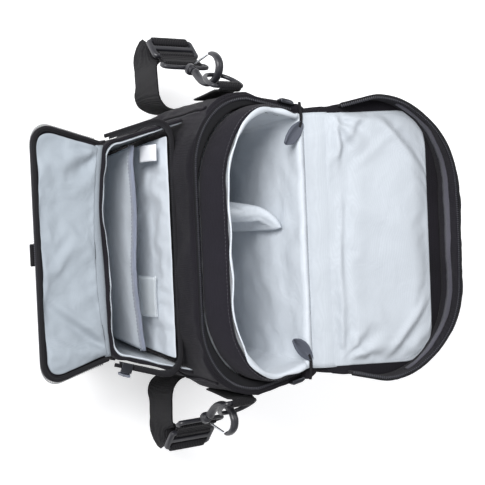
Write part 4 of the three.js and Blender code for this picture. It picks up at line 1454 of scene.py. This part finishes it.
def finish_node(name, ob):
    slot = next(part["material_slot"] for part in frame["record"]["subparts"]
                if part["node"] == name)
    ob.data.materials.clear()
    ob.data.materials.append(DARK_METAL if "slider" in name else SLOT_MATERIALS[slot])
    for face in ob.data.polygons:
        face.use_smooth = True
    if name.startswith(BEVELLED_NODES):
        weld(ob, "w")
        bevel = ob.modifiers.new("b", "BEVEL")
        bevel.width = 0.0005
        bevel.segments = 3
        bevel.limit_method = "ANGLE"
        bevel.angle_limit = math.radians(35)
    if name.startswith(ROUND_NODES):
        weld(ob, "w2")
        subdivision = ob.modifiers.new("s", "SUBSURF")
        subdivision.levels = subdivision.render_levels = 2


for name in NODES:
    finish_node(name, NODES[name])


# ---------------------------------------------------------------- stage, in metres
def make_floor():
    bpy.ops.mesh.primitive_plane_add(size=12, location=(0, 0, -0.0008))
    floor = bpy.context.object
    floor.name = "floor"
    material = bpy.data.materials.new("floor")
    material.use_nodes = True
    inputs = material.node_tree.nodes["Principled BSDF"].inputs
    inputs["Base Color"].default_value = (0.93, 0.93, 0.94, 1)
    inputs["Roughness"].default_value = 0.9
    inputs["Emission Color"].default_value = (1, 1, 1, 1)
    inputs["Emission Strength"].default_value = 0.42
    floor.data.materials.append(material)


def make_world():
    world = bpy.context.scene.world or bpy.data.worlds.new("w")
    bpy.context.scene.world = world
    world.use_nodes = True
    background = world.node_tree.nodes["Background"]
    background.inputs["Color"].default_value = (0.97, 0.98, 1, 1)
    background.inputs["Strength"].default_value = 0.46


def area_light(name, location, target, size, power):
    light = bpy.data.lights.new(name, "AREA")
    light.shape = "DISK"
    light.size = size
    light.energy = power
    ob = bpy.data.objects.new(name, light)
    bpy.context.scene.collection.objects.link(ob)
    ob.location = location
    direction = Vector(target) - Vector(location)
    ob.rotation_euler = direction.to_track_quat("-Z", "Y").to_euler()


def make_camera(target, distance, pitch, heading, lens):
    """Camera looking down at target by pitch, rolled a quarter turn."""
    right = Vector((math.cos(heading), -math.sin(heading), 0))
    level = Vector((math.sin(heading), math.cos(heading), 0))
    view = level * math.cos(pitch) + Vector((0, 0, -math.sin(pitch)))
    above = level * math.sin(pitch) + Vector((0, 0, math.cos(pitch)))
    data = bpy.data.cameras.new("cam")
    data.sensor_width = 36
    data.lens = lens
    camera = bpy.data.objects.new("cam", data)
    bpy.context.scene.collection.objects.link(camera)
    axes = Matrix((above, -right, -view)).transposed()
    camera.matrix_world = Matrix.Translation(Vector(target) - view * distance) @ axes.to_4x4()
    bpy.context.scene.camera = camera


make_floor()
make_world()
area_light("key", (-0.5, -0.9, 0.95), target=(0, -0.05, 0.12), size=0.6, power=19)
area_light("fill", (0.8, -0.5, 1.2), target=(0, 0, 0.15), size=1.0, power=2.5)
area_light("top", (-0.5, 0.6, 1.5), target=(0, 0, 0.12), size=0.7, power=5)
make_camera(target=(-0.002, -0.03, 0.192), distance=0.95, pitch=math.radians(54),
            heading=math.radians(3), lens=87.086598)
bpy.context.scene.view_settings.view_transform = "Standard"
